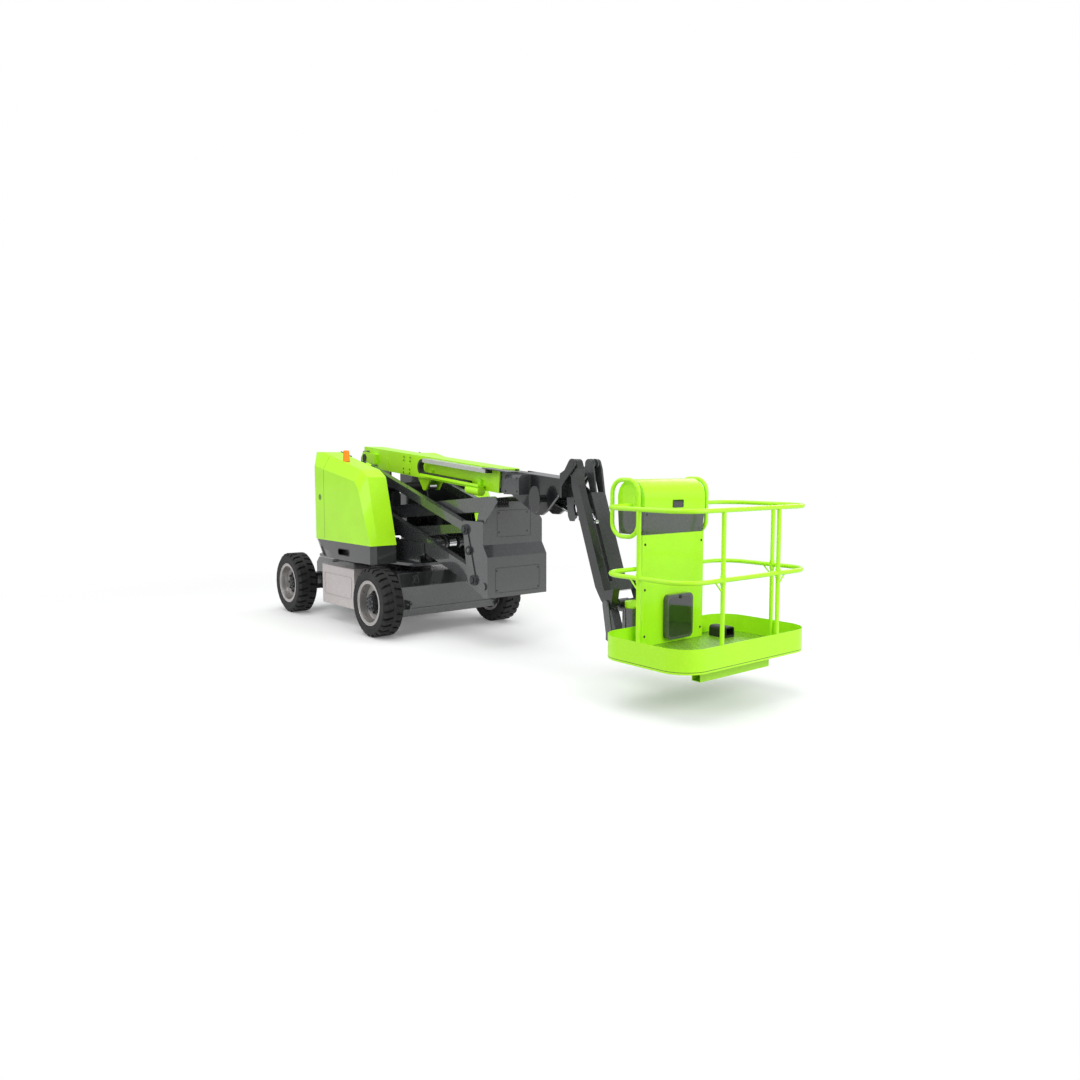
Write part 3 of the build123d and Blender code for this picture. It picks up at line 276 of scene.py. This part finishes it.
# groove low on the toe board, a darker lime line painted as painted shade in the groove
TOE_GROOVE_Z, TOE_GROOVE_HALF = 0.366, 0.0022
toe = paint("toe_board_paint", LIME, 0.38, 0.22, dust=0.0, amount=0.2, spec=0.32)
tree = toe.node_tree
over(toe, near(tree, place(tree)[2], TOE_GROOVE_Z, TOE_GROOVE_HALF), (0.045, 0.10, 0.006))

# the nose's side plates and the jib's near leg are a darker paint than the tubes
NOSE_PLATE_Y, NOSE_FROM_X, JIB_NEAR_LEG_Y = 0.0875, 2.72, -0.10
nose = paint("boom_and_nose_paint", (0.042, 0.044, 0.046), 0.28, 0.5, dust=0.02)
tree = nose.node_tree
x, y = place(tree)[:2]
outside = calc(tree, "GREATER_THAN", calc(tree, "ABSOLUTE", y), NOSE_PLATE_Y)
plates = calc(tree, "MULTIPLY", outside, calc(tree, "GREATER_THAN", x, NOSE_FROM_X))
over(nose, plates, (0.008, 0.009, 0.010))
jib_paint = paint("jib_paint", (0.036, 0.038, 0.040), 0.28, 0.5, dust=0.02)
tree = jib_paint.node_tree
near_leg = calc(tree, "LESS_THAN", place(tree)[1], JIB_NEAR_LEG_Y)
over(jib_paint, near_leg, (0.014, 0.015, 0.016))

# a CAD node takes its own material, or else the one of its slot in the record
own = {
    "platform_floor": plate, "toe_board": toe, "fly_boom": nose,
    "jib_base": jib_paint, "jib_arm": jib_paint, "jib_link": jib_paint,
}
for kind in rubber:
    for side in ("left", "right"):
        own["tyre_" + kind + "_" + side] = rubber[kind]
        own["rim_" + kind + "_" + side] = rim_paint
slots = {
    "lime": lime, "dark": dark, "slate": slate, "silver": silver, "rodchrome": chrome,
    "iron": iron, "amber": amber, "black": black, "smoke": smoke, "grey": grey,
}
part_slot = {p["node"]: p["material_slot"] for p in frame["record"]["subparts"]}

for name, obj in nodes.items():
    mat = own[name] if name in own else slots[part_slot[name]]
    if not obj.material_slots:
        obj.data.materials.append(mat)
    for s in obj.material_slots:
        s.material = mat


# mesh helpers
def add_object(name, mesh, mat, body, bevel=0.0):
    mesh.materials.append(mat)
    obj = bpy.data.objects.new(name, mesh)
    scene.collection.objects.link(obj)
    if bevel:
        edge = obj.modifiers.new("edge", "BEVEL")
        edge.width = bevel
        edge.segments = 2
        edge.limit_method = "ANGLE"
    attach(obj, body)


def piece(name, bm, mat, body, bevel=0.0, smooth=False):
    mesh = bpy.data.meshes.new(name)
    bmesh.ops.recalc_face_normals(bm, faces=bm.faces)
    bm.to_mesh(mesh)
    bm.free()
    for face in mesh.polygons:
        face.use_smooth = smooth
    add_object(name, mesh, mat, body, bevel)


def bridge(bm, rings):
    """Faces between each ring of vertices and the next."""
    for one, two in zip(rings, rings[1:]):
        for k in range(len(one)):
            j = (k + 1) % len(one)
            bm.faces.new((one[k], one[j], two[j], two[k]))


def lathe(bm, centre, axis, profile, segments):
    """An open turned form; the profile is pairs of radius and height along the axis."""
    a = Vector(axis).normalized()
    s = a.orthogonal().normalized()
    t = a.cross(s)
    c = Vector(centre)
    turns = [math.tau * k / segments for k in range(segments)]
    rings = [[bm.verts.new(c + a * h + (s * math.cos(q) + t * math.sin(q)) * r) for q in turns]
             for r, h in profile]
    bridge(bm, rings)
    return rings


def turned(bm, centre, axis, profile, segments):
    """A lathe form that is closed at both ends."""
    rings = lathe(bm, centre, axis, profile, segments)
    bm.faces.new(rings[0][::-1])
    bm.faces.new(rings[-1])


def bolt(bm, centre, axis, r, h):
    """A hexagon head of radius r and height h, on its washer."""
    turned(bm, centre, axis, [(r * 1.45, -0.0005), (r * 1.45, h * 0.22), (r * 1.3, h * 0.28)], 18)
    turned(bm, centre, axis, [(r, h * 0.2), (r, h * 0.82), (r * 0.86, h)], 6)


def bolts(name, body, places, axis, r, h, mat=black):
    bm = bmesh.new()
    for c in places:
        bolt(bm, c, axis, r, h)
    piece(name, bm, mat, body)


def circle(count, radius, shift=0.0):
    """Points on a circle round the origin, shifted by a share of their step."""
    turns = [math.tau * (k + shift) / count for k in range(count)]
    return [(radius * math.cos(q), radius * math.sin(q)) for q in turns]


def prism(bm, outline, depth):
    """A solid with this outline at one end, drawn out by the vector depth."""
    d = Vector(depth)
    low_ring = [bm.verts.new(Vector(p)) for p in outline]
    high_ring = [bm.verts.new(Vector(p) + d) for p in outline]
    bm.faces.new(low_ring)
    bm.faces.new(high_ring[::-1])
    bridge(bm, [low_ring, high_ring])


def rounded(centre, u, v, half_u, half_v, radius, steps=5):
    """The outline of a rectangle with round corners, on the plane of u and v."""
    c, u, v = Vector(centre), Vector(u), Vector(v)
    out = []
    for su, sv, start in ((1, 1, 0), (-1, 1, 90), (-1, -1, 180), (1, -1, 270)):
        for k in range(steps + 1):
            q = math.radians(start + 90 * k / steps)
            a = su * (half_u - radius) + radius * math.cos(q)
            b = sv * (half_v - radius) + radius * math.sin(q)
            out.append(c + u * a + v * b)
    return out


def hollow(bm, outer, inner, depth):
    """A frame between two outlines, drawn out by the vector depth."""
    rows = (outer, [p + depth for p in outer], [p + depth for p in inner], inner)
    rings = [[bm.verts.new(p) for p in row] for row in rows]
    bridge(bm, rings + rings[:1])


def ring_on(bm, centre, u, v, half_u, half_v, radius, width, depth):
    """A rounded frame of this width on the plane of u and v, raised by depth."""
    outer = rounded(centre, u, v, half_u, half_v, radius)
    inner = rounded(centre, u, v, half_u - width, half_v - width, max(radius - width, 0.001))
    hollow(bm, outer, inner, Vector(u).cross(Vector(v)) * depth)


def tube(name, body, points, radius, mat):
    """A smooth hose along a NURBS line."""
    curve = bpy.data.curves.new(name, "CURVE")
    curve.dimensions = "3D"
    curve.bevel_depth = radius
    curve.bevel_resolution = 3
    curve.resolution_u = 6
    curve.use_fill_caps = True
    spline = curve.splines.new("NURBS")
    spline.points.add(len(points) - 1)
    for point, co in zip(spline.points, points):
        point.co = (*co, 1.0)
    spline.use_endpoint_u = True
    spline.order_u = 3
    helper = bpy.data.objects.new(name + "_line", curve)
    mesh = bpy.data.meshes.new_from_object(helper)
    bpy.data.objects.remove(helper)
    for face in mesh.polygons:
        face.use_smooth = True
    mesh.materials.clear()
    add_object(name, mesh, mat, body)


def surface(node):
    mesh = nodes[node].data
    corners = [v.co for v in mesh.vertices]
    return BVHTree.FromPolygons(corners, [p.vertices for p in mesh.polygons])


def hits(skin, rays):
    """The points and normals where rays, each a start and a direction, meet a surface."""
    found = [skin.ray_cast(Vector(start), Vector(way).normalized())[:2] for start, way in rays]
    return [(point, normal) for point, normal in found if point]


def ribbon(name, body, line, side, width, lift, mat):
    """A narrow strip along points on a surface, half of it sunk."""
    bm = bmesh.new()
    s = Vector(side).normalized() * width / 2
    rows = []
    for p, n in line:
        up = n * lift
        rows.append([bm.verts.new(c) for c in (p + s + up, p - s + up, p - s - up, p + s - up)])
    bridge(bm, rows)
    bm.faces.new(rows[0])
    bm.faces.new(rows[-1][::-1])
    piece(name, bm, mat, body)


# wheels: lip in a lighter silver than the rim as a painted highlight along its edge, hub bolts,
# wheel nuts, hub cap and valve
LIP_STEPS = 64
LIP = [(0.2265, 0.858), (0.2262, 0.8655), (0.2285, 0.8685),
       (0.2325, 0.8685), (0.2348, 0.8655), (0.2345, 0.858)]
HUB_FACE_Y = {"drive": 0.855, "steer": 0.819}
HUB_BOLTS = {"drive": (8, 0.056), "steer": (6, 0.044)}
NUTS, NUT_CIRCLE, NUT_Y = 9, 0.107, 0.787
CAP = [(0.030, -0.0005), (0.030, 0.003), (0.026, 0.006), (0.012, 0.007)]
VALVE = [(0.007, -0.001), (0.007, 0.012), (0.0045, 0.013), (0.0045, 0.030)]
VALVE_X, VALVE_Y, VALVE_Z = 0.150, 0.779, 0.085  # x and z from the axle
for kind, axle_x in AXLES:
    for side, sign in SIDES:
        body = "wheel_" + kind + "_" + side
        out = (0, sign, 0)
        face_y = sign * HUB_FACE_Y[kind]
        bm = bmesh.new()
        rings = lathe(bm, (axle_x, 0, AXLE_Z), out, LIP, LIP_STEPS)
        bridge(bm, [rings[-1], rings[0]])
        piece("rim_lip_highlight_" + kind + "_" + side, bm, silver, body, smooth=True)
        spots = [(axle_x + a, face_y, AXLE_Z + b) for a, b in circle(*HUB_BOLTS[kind])]
        bolts("hub_bolts_" + kind + "_" + side, body, spots, out, 0.0075, 0.008)
        spots = [(axle_x + a, sign * NUT_Y, AXLE_Z + b) for a, b in circle(NUTS, NUT_CIRCLE, 0.5)]
        bolts("wheel_nuts_" + kind + "_" + side, body, spots, out, 0.0115, 0.022)
        bm = bmesh.new()
        turned(bm, (axle_x, face_y, AXLE_Z), out, CAP, 28)
        turned(bm, (axle_x + VALVE_X, sign * VALVE_Y, AXLE_Z + VALVE_Z), out, VALVE, 12)
        piece("hub_cap_and_valve_" + kind + "_" + side, bm, black, body)

# hoods: shut line up the side and over the crown, and a round latch, both in the lime darkened as
# painted shade in the seam and the latch's dish
FAR_Y = 1.3  # where the rays towards a hood's side start
SEAM_X, SEAM_LOW_Z, SEAM_HIGH_Z, SEAM_STEPS = -0.05, 0.950, 1.70, 25
SEAM_WIDTH, SEAM_LIFT = 0.005, 0.0008
CROWN_Y, CROWN_Z, CROWN_R = 0.60, 1.62, 0.9
CROWN_FROM, CROWN_TURN, CROWN_STEPS = 8, 74, 21
LATCH_X, LATCH_Z = -0.148, 1.409
LATCH_DISH = [(0.034, -0.001), (0.034, 0.0012), (0.0315, 0.0028),
              (0.028, 0.0022), (0.022, 0.0018), (0.020, 0.0005)]
LATCH_KNOB = [(0.011, 0.0), (0.011, 0.0036), (0.008, 0.0044)]
for side, sign in SIDES:
    body = "hood_" + side
    skin = surface(body)
    rays = []
    for k in range(SEAM_STEPS + 1):
        z = SEAM_LOW_Z + (SEAM_HIGH_Z - SEAM_LOW_Z) * k / SEAM_STEPS
        rays.append(((SEAM_X, sign * FAR_Y, z), (0, -sign, 0)))
    for k in range(CROWN_STEPS + 1):
        q = math.radians(CROWN_FROM + CROWN_TURN * k / CROWN_STEPS)
        y, z = math.cos(q), math.sin(q)
        start = (SEAM_X, sign * (CROWN_Y + CROWN_R * y), CROWN_Z + CROWN_R * z)
        rays.append((start, (0, -sign * y, -z)))
    ribbon("hood_shut_line_" + side, body, hits(skin, rays), FORWARD, SEAM_WIDTH, SEAM_LIFT,
           shade_lime)
    centre = hits(skin, [((LATCH_X, sign * FAR_Y, LATCH_Z), (0, -sign, 0))])[0][0]
    bm = bmesh.new()
    turned(bm, centre, (0, sign, 0), LATCH_DISH, 32)
    turned(bm, centre, (0, sign, 0), LATCH_KNOB, 16)
    piece("hood_latch_" + side, bm, shade_lime, body)

# skirt: frame of the slot
bm = bmesh.new()
for sign in (1, -1):
    ring_on(bm, (0.382, sign * 0.8222, 0.828), (sign, 0, 0), UP, 0.132, 0.038, 0.020, 0.008,
            -0.0015)
piece("skirt_slot_trim", bm, black, "turntable")

# chassis: dark cover on the slope of the drive end, with its handle and bolts
slope_mid = Vector((1.1675, 0, 0.580))
slope_u = Vector(LEFT)
slope_v = (Vector((1.135, 0, 0.650)) - Vector((1.200, 0, 0.510))).normalized()
slope_n = slope_u.cross(slope_v)
cover_back, cover_depth, cover_face = slope_n * 0.0005, slope_n * 0.0035, slope_n * 0.004
bm = bmesh.new()
prism(bm, rounded(slope_mid + cover_back, slope_u, slope_v, 0.585, 0.066, 0.008), cover_depth)
piece("drive_end_cover", bm, slate, "chassis")
bm = bmesh.new()
c = slope_mid + slope_u * -0.40 + cover_depth
hollow(bm, rounded(c, slope_u, slope_v, 0.030, 0.042, 0.010),
       rounded(c, slope_u, slope_v, 0.023, 0.035, 0.006), cover_face)
piece("drive_cover_handle", bm, dark, "chassis")
spots = [slope_mid + slope_u * a + slope_v * b + cover_face
         for a in (-0.56, -0.2, 0.2, 0.56) for b in (-0.052, 0.052)]
bolts("drive_cover_bolts", "chassis", spots, slope_n, 0.006, 0.005)

# riser: pin heads with their keeper bolts, and a ring, on both cheeks of the mid pivot
CHEEK_Y, KEEPER_Y = 0.376, 0.384
PINS_XZ = ((2.030, 1.150), (2.168, 0.673))
RING_X, RING_Z = 2.088, 0.950
KEEPERS = circle(6, 0.039)
PIN_DISC = [(0.050, -0.0008), (0.050, 0.006), (0.043, 0.010)]
PIN_HEXAGON = [(0.030, 0.0), (0.030, 0.020), (0.025, 0.024)]
RING_BEAD = [(0.026, -0.0008), (0.026, 0.005), (0.034, 0.008), (0.042, 0.005), (0.042, -0.0008)]
RING_PLUG = [(0.025, -0.0008), (0.025, 0.0015), (0.020, 0.001)]
bm = bmesh.new()
for x, z in PINS_XZ:
    for sign in (-1, 1):
        turned(bm, (x, sign * CHEEK_Y, z), (0, sign, 0), PIN_DISC, 30)
        turned(bm, (x, sign * CHEEK_Y, z), (0, sign, 0), PIN_HEXAGON, 6)
        for a, b in KEEPERS:
            bolt(bm, (x + a, sign * KEEPER_Y, z + b), (0, sign, 0), 0.005, 0.007)
piece("riser_pin_heads", bm, iron, "mid_pivot")
bm = bmesh.new()
for sign in (-1, 1):
    lathe(bm, (RING_X, sign * CHEEK_Y, RING_Z), (0, sign, 0), RING_BEAD, 28)
    turned(bm, (RING_X, sign * CHEEK_Y, RING_Z), (0, sign, 0), RING_PLUG, 28)
piece("cheek_ring", bm, black, "mid_pivot")

# mid cover: access seams and screws on its upper and lower front
UPPER_X, LOWER_X, SEAM_OFF = 2.310, 2.380, 0.0002
bm = bmesh.new()
ring_on(bm, (UPPER_X + SEAM_OFF, 0.010, 1.212), LEFT, UP, 0.204, 0.128, 0.014, 0.003, 0.0006)
ring_on(bm, (LOWER_X + SEAM_OFF, 0.0, 0.680), LEFT, UP, 0.268, 0.120, 0.014, 0.003, 0.0006)
piece("mid_cover_seams", bm, rubber_line, "mid_pivot")
spots = [(UPPER_X, y, z) for y in (-0.171, 0.171) for z in (1.130, 1.314)]
spots += [(LOWER_X, y, z) for y in (-0.251, 0.251) for z in (0.584, 0.772)]
bolts("mid_cover_screws", "mid_pivot", spots, FORWARD, 0.006, 0.004)

# black side plates on the slanted edges of the mid cover, with three bolts each; their black is
# partly the side walls' own dark colour and partly painted shade behind the cover's edge
PLATE_X, PLATE_T = 2.306, 0.005
LOW_Y, LOW_Z, LOW_REACH = 0.360, 1.238, 0.085
HIGH_Y, HIGH_Z, HIGH_REACH = 0.210, 1.416, 0.110
FIRST_BOLT, BOLT_STEP, BOLT_BACK = 0.055, 0.06, 0.045
bm = bmesh.new()
plate_bolts = []
for sign in (-1, 1):
    low_edge = Vector((PLATE_X, sign * LOW_Y, LOW_Z))
    high_edge = Vector((PLATE_X, sign * HIGH_Y, HIGH_Z))
    run = (high_edge - low_edge).normalized()
    out = Vector((0, run.z, -run.y)) * sign
    high_back = high_edge + Vector((-HIGH_REACH, 0, 0))
    low_back = low_edge + Vector((-LOW_REACH, 0, 0))
    prism(bm, [low_edge, high_edge, high_back, low_back], out * PLATE_T)
    for k in range(3):
        along = run * (FIRST_BOLT + BOLT_STEP * k)
        c = low_edge + along + Vector((-BOLT_BACK, 0, 0)) + out * PLATE_T
        plate_bolts.append((c, out))
for c, out in plate_bolts:
    bolt(bm, c, out, 0.008, 0.007)
piece("mid_cover_side_plates", bm, black, "mid_pivot", bevel=0.0008)

# hoses over the top of the mid cover, held at both ends, and their clamp
HOSE_R = 0.008
HOSE_LINE = ((2.315, 0.0, 1.375), (2.330, 0.0, 1.415), (2.318, 0.01, 1.447),
             (2.262, 0.02, 1.452), (2.205, 0.02, 1.440), (2.170, 0.02, 1.400),
             (2.165, 0.02, 1.340))
for k, y in enumerate((-0.165, -0.135, -0.105, -0.075)):
    points = [(x, y + aside, z) for x, aside, z in HOSE_LINE]
    tube("riser_hose_%d" % k, "mid_pivot", points, HOSE_R, rubber_line)
CLAMP_X, CLAMP_DEPTH = 2.3105, 0.012
CLAMP_YZ = ((-0.185, 1.366), (-0.055, 1.366), (-0.055, 1.392), (-0.185, 1.392))
bm = bmesh.new()
prism(bm, [(CLAMP_X, y, z) for y, z in CLAMP_YZ], (CLAMP_DEPTH, 0, 0))
piece("hose_clamp", bm, black, "mid_pivot", bevel=0.002)

# dark bulkhead between the hoods at the back, with louvres
BULKHEAD_X, BULKHEAD_T = -0.612, 0.012
BULKHEAD_YZ = ((-0.470, 0.946), (0.470, 0.946), (0.470, 1.400),
               (0.420, 1.490), (-0.420, 1.490), (-0.470, 1.400))
LOUVRES, LOUVRE_Z, LOUVRE_STEP = 8, 1.06, 0.045
LOUVRE_X, LOUVRE_LIP_X, LOUVRE_H, LOUVRE_LIP_H = -0.601, -0.592, 0.022, 0.004
LOUVRE_Y, LOUVRE_LENGTH = -0.30, 0.60
bm = bmesh.new()
prism(bm, [(BULKHEAD_X, y, z) for y, z in BULKHEAD_YZ], (BULKHEAD_T, 0, 0))
for k in range(LOUVRES):
    z = LOUVRE_Z + LOUVRE_STEP * k
    section = [(LOUVRE_X, LOUVRE_Y, z), (LOUVRE_X, LOUVRE_Y, z + LOUVRE_H),
               (LOUVRE_LIP_X, LOUVRE_Y, z + LOUVRE_LIP_H)]
    prism(bm, section, (0, LOUVRE_LENGTH, 0))
piece("rear_bulkhead", bm, slate, "turntable")

# beacon base
BEACON_AT = (0.25, -0.70, 1.779)
BEACON_RING = [(0.052, 0.0), (0.052, 0.012), (0.045, 0.022), (0.0395, 0.024)]
bm = bmesh.new()
turned(bm, BEACON_AT, UP, BEACON_RING, 32)
piece("beacon_base", bm, black, "hood_right")

# the boom's own directions from its root pin: u along it, w square to it and up
fall = math.radians(5.27)
boom_u = Vector((math.cos(fall), 0, -math.sin(fall)))
boom_w = Vector((math.sin(fall), 0, math.cos(fall)))
root = Vector((-0.335, 0, 1.850))


def boom(u, y, w):
    p = root + boom_u * u + boom_w * w
    return Vector((p.x, y, p.z))


# main boom: heads of the root pin with three bolts each, and bolts at the splice
EAR_Y, EAR_BOLT_Y = 0.166, 0.1735
EAR_DISC = [(0.046, -0.0006), (0.046, 0.006), (0.040, 0.009)]
EAR_BOLTS = circle(3, 0.030, 0.24)
SPLICE_Y = -0.1262
for side, sign in (("right", -1), ("left", 1)):
    bm = bmesh.new()
    turned(bm, boom(0, sign * EAR_Y, 0), (0, sign, 0), EAR_DISC, 28)
    for u, w in EAR_BOLTS:
        bolt(bm, boom(u, sign * EAR_BOLT_Y, w), (0, sign, 0), 0.006, 0.007)
    piece("boom_pin_head_" + side, bm, black, "main_boom")
spots = [boom(u, SPLICE_Y, w) for u in (0.828, 0.958) for w in (-0.085, -0.045, 0.045, 0.085)]
# the splice bolts are in the lime darkened as painted shade
bolts("boom_splice_bolts", "main_boom", spots, RIGHT, 0.0075, 0.006, shade_lime)

# fly nose: black plate over the chain's end, and bolts on the guide box
bm = bmesh.new()
prism(bm, rounded(boom(2.560, -0.176, 0.114), boom_u, LEFT, 0.120, 0.052, 0.010), boom_w * 0.005)
piece("chain_end_plate", bm, black, "fly_boom", bevel=0.001)
GUIDE_Y = -0.2362
spots = [(x, GUIDE_Y, z) for x in (2.500, 2.670) for z in (1.530, 1.652)]
bolts("guide_box_bolts", "fly_boom", spots, RIGHT, 0.007, 0.006)

# cable chain: a plate with its rivet on each link of both runs
CHAIN_Y, LINK, RIVET_U = -0.2122, 0.050, -0.014
CHAIN_RUNS = ((0.087, 1.365, 2.500), (-0.050, 1.365, 2.170))  # w, and u at the two ends
RIVET = [(0.0045, -0.0004), (0.0045, 0.0014), (0.003, 0.002)]
link_depth = Vector((0, -0.002, 0))
bm = bmesh.new()
for w, first, last in CHAIN_RUNS:
    for k in range(int((last - first) / LINK)):
        c = boom(first + LINK * (k + 0.5), CHAIN_Y, w)
        prism(bm, rounded(c, boom_u, boom_w, 0.023, 0.012, 0.006, 3), link_depth)
        turned(bm, c + boom_u * RIVET_U + link_depth, RIGHT, RIVET, 10)
piece("chain_links", bm, black, "main_boom")

# jib: heads of its top and low pins, on the near side
JIB_PIN_Y, JIB_PIN_R = -0.184, 0.036
JIB_DISC = [(JIB_PIN_R, -0.0006), (JIB_PIN_R, 0.006), (JIB_PIN_R * 0.86, 0.009)]
JIB_HEXAGON = [(JIB_PIN_R * 0.42, 0.0), (JIB_PIN_R * 0.42, 0.0135), (JIB_PIN_R * 0.34, 0.016)]
for name, x, z in (("jib_top_pin", 3.385, 1.780), ("jib_low_pin", 3.807, 0.625)):
    bm = bmesh.new()
    turned(bm, (x, JIB_PIN_Y, z), RIGHT, JIB_DISC, 28)
    turned(bm, (x, JIB_PIN_Y, z), RIGHT, JIB_HEXAGON, 6)
    piece(name, bm, iron, "jib_arm")

# platform: display on the console, knob and lid of the document box
CONSOLE_X, DISPLAY_Y, DISPLAY_Z, DISPLAY_T = 4.3842, 0.026, 1.474, 0.004
display = (LEFT, UP, 0.060, 0.030, 0.006)
bm = bmesh.new()
prism(bm, rounded((CONSOLE_X, DISPLAY_Y, DISPLAY_Z), *display), (DISPLAY_T, 0, 0))
ring_on(bm, (CONSOLE_X + DISPLAY_T, DISPLAY_Y, DISPLAY_Z), *display, 0.006, 0.002)
piece("console_display", bm, glass, "platform")
BOX_Y, KNOB_X, KNOB_Z, LID_X, LID_Z, LID_T = 0.035, 4.4155, 0.742, 4.4162, 0.588, 0.0012
bm = bmesh.new()
turned(bm, (KNOB_X, BOX_Y, KNOB_Z), FORWARD, [(0.014, 0.0), (0.014, 0.008), (0.010, 0.011)], 20)
piece("document_box_knob", bm, black, "platform")
bm = bmesh.new()
prism(bm, rounded((LID_X, BOX_Y, LID_Z), LEFT, UP, 0.128, 0.155, 0.030), (LID_T, 0, 0))
piece("document_box_lid", bm, glass, "platform", bevel=0.0005)

# platform: collars on the posts, and bolts on panel and console
COLLAR_Z = 0.978
COLLAR = [(0.0192, -0.035), (0.0198, -0.033), (0.0198, 0.033), (0.0192, 0.035)]
bm = bmesh.new()
for x, y in ((5.136, 0.290), (5.136, -0.345), (4.690, -0.7235), (4.772, 0.7235)):
    turned(bm, (x, y, COLLAR_Z), UP, COLLAR, 20)
piece("rail_collars", bm, lime, "platform")
PANEL_X = 4.3722
spots = [(PANEL_X, y, z) for y in (-0.325, 0.325) for z in (0.46, 0.82, 1.17)]
bolts("panel_bolts", "platform", spots, FORWARD, 0.007, 0.005)
spots = [(CONSOLE_X, y, z) for y in (-0.32, 0.32) for z in (1.262, 1.400)]
bolts("console_screws", "platform", spots, FORWARD, 0.005, 0.004)

# camera as fitted to the photograph
FOCAL_PIXELS, FRAME_PIXELS, SENSOR_MM = 875.29, 1080.0, 36.0
yaw = math.radians(140.5344)
pitch = math.radians(5.0582)
camera_data = bpy.data.cameras.new("photo_camera")
camera = bpy.data.objects.new("photo_camera", camera_data)
scene.collection.objects.link(camera)
camera.location = (8.9817, -5.1577, 1.7932)
level = math.cos(pitch)
look = Vector((math.cos(yaw) * level, math.sin(yaw) * level, -math.sin(pitch)))
camera.rotation_euler = look.to_track_quat("-Z", "Y").to_euler()
camera_data.sensor_fit = "HORIZONTAL"
camera_data.sensor_width = SENSOR_MM
camera_data.lens = SENSOR_MM * FOCAL_PIXELS / FRAME_PIXELS
camera_data.clip_end = 400.0
scene.camera = camera


def glow(tree, kind, colour, strength):
    """A Background or Emission node of one colour."""
    node = tree.nodes.new("ShaderNode" + kind)
    node.inputs[0].default_value = colour
    node.inputs[1].default_value = strength
    return node.outputs[0]


def mix_shaders(tree, factor, one, two):
    node = tree.nodes.new("ShaderNodeMixShader")
    for k, socket in enumerate((factor, one, two)):
        tree.links.new(socket, node.inputs[k])
    return node.outputs[0]


# world: white where the camera sees it, and a soft pale light for everything else
world = bpy.data.worlds.new("studio")
scene.world = world
world.use_nodes = True
tree = world.node_tree
tree.nodes.clear()
lit = glow(tree, "Background", (0.97, 0.985, 1.0, 1), 0.56)
seen = glow(tree, "Background", WHITE, 1.0)
ray = tree.nodes.new("ShaderNodeLightPath")
sky = mix_shaders(tree, ray.outputs["Is Camera Ray"], lit, seen)
tree.links.new(sky, tree.nodes.new("ShaderNodeOutputWorld").inputs[0])

# floor: the camera and glossy rays see it pale with its shadows, and white further out;
# to all other rays it is a plain grey
FLOOR_X, FLOOR_R, FLOOR_STEPS = 1.5, 60.0, 96
FADE_FROM, FADE_TO = 2.6, 7.0
mesh = bpy.data.meshes.new("floor")
bm = bmesh.new()
bmesh.ops.create_circle(bm, cap_ends=True, radius=FLOOR_R, segments=FLOOR_STEPS)
bm.to_mesh(mesh)
bm.free()
obj = bpy.data.objects.new("floor", mesh)
obj.location = (FLOOR_X, 0, 0)
scene.collection.objects.link(obj)
mat, tree, bsdf = new_material("floor_white")
bsdf.inputs["Base Color"].default_value = (0.80, 0.80, 0.80, 1)
bsdf.inputs["Roughness"].default_value = 0.55
bsdf.inputs["Specular IOR Level"].default_value = 0.2
pale = tree.nodes.new("ShaderNodeAddShader")
tree.links.new(bsdf.outputs[0], pale.inputs[0])
tree.links.new(glow(tree, "Emission", WHITE, 0.14), pale.inputs[1])
coord = tree.nodes.new("ShaderNodeTexCoord")
length = tree.nodes.new("ShaderNodeVectorMath")
length.operation = "LENGTH"
tree.links.new(coord.outputs["Object"], length.inputs[0])
fade = tree.nodes.new("ShaderNodeMapRange")
fade.inputs["From Min"].default_value = FADE_FROM
fade.inputs["From Max"].default_value = FADE_TO
fade.interpolation_type = "SMOOTHSTEP"
tree.links.new(length.outputs["Value"], fade.inputs["Value"])
far = mix_shaders(tree, fade.outputs[0], pale.outputs[0], glow(tree, "Emission", WHITE, 1.0))
dim = tree.nodes.new("ShaderNodeBsdfDiffuse")
dim.inputs[0].default_value = (0.52, 0.52, 0.52, 1)
ray = tree.nodes.new("ShaderNodeLightPath")
shown = calc(tree, "MAXIMUM", ray.outputs["Is Camera Ray"], ray.outputs["Is Glossy Ray"])
both = mix_shaders(tree, shown, dim.outputs[0], far)
tree.links.new(both, find_node(tree, "OutputMaterial").inputs[0])
mesh.materials.append(mat)

# lamps: name, place, target, size and power
LAMPS = (
    ("overhead", (1.5, -1.0, 8.0), (1.5, 0, 0), (9.0, 7.0), 430),
    ("key", (6.0, -8.0, 6.5), (1.5, 0, 0.8), (5.0, 4.0), 250),
    ("side", (-3.0, -8.5, 4.0), (0.5, 0, 0.9), (5.0, 3.0), 110),
    ("front", (9.5, 1.5, 3.2), (1.5, 0, 0.9), (5.0, 3.0), 210),
    ("back", (1.0, 8.5, 6.0), (1.5, 0, 0.8), (6.0, 4.0), 220),
)
for name, spot, target, (width, height), power in LAMPS:
    data = bpy.data.lights.new(name, "AREA")
    data.energy = power
    data.shape = "RECTANGLE"
    data.size = width
    data.size_y = height
    lamp = bpy.data.objects.new(name, data)
    lamp.location = spot
    lamp.rotation_euler = (Vector(target) - Vector(spot)).to_track_quat("-Z", "Y").to_euler()
    scene.collection.objects.link(lamp)
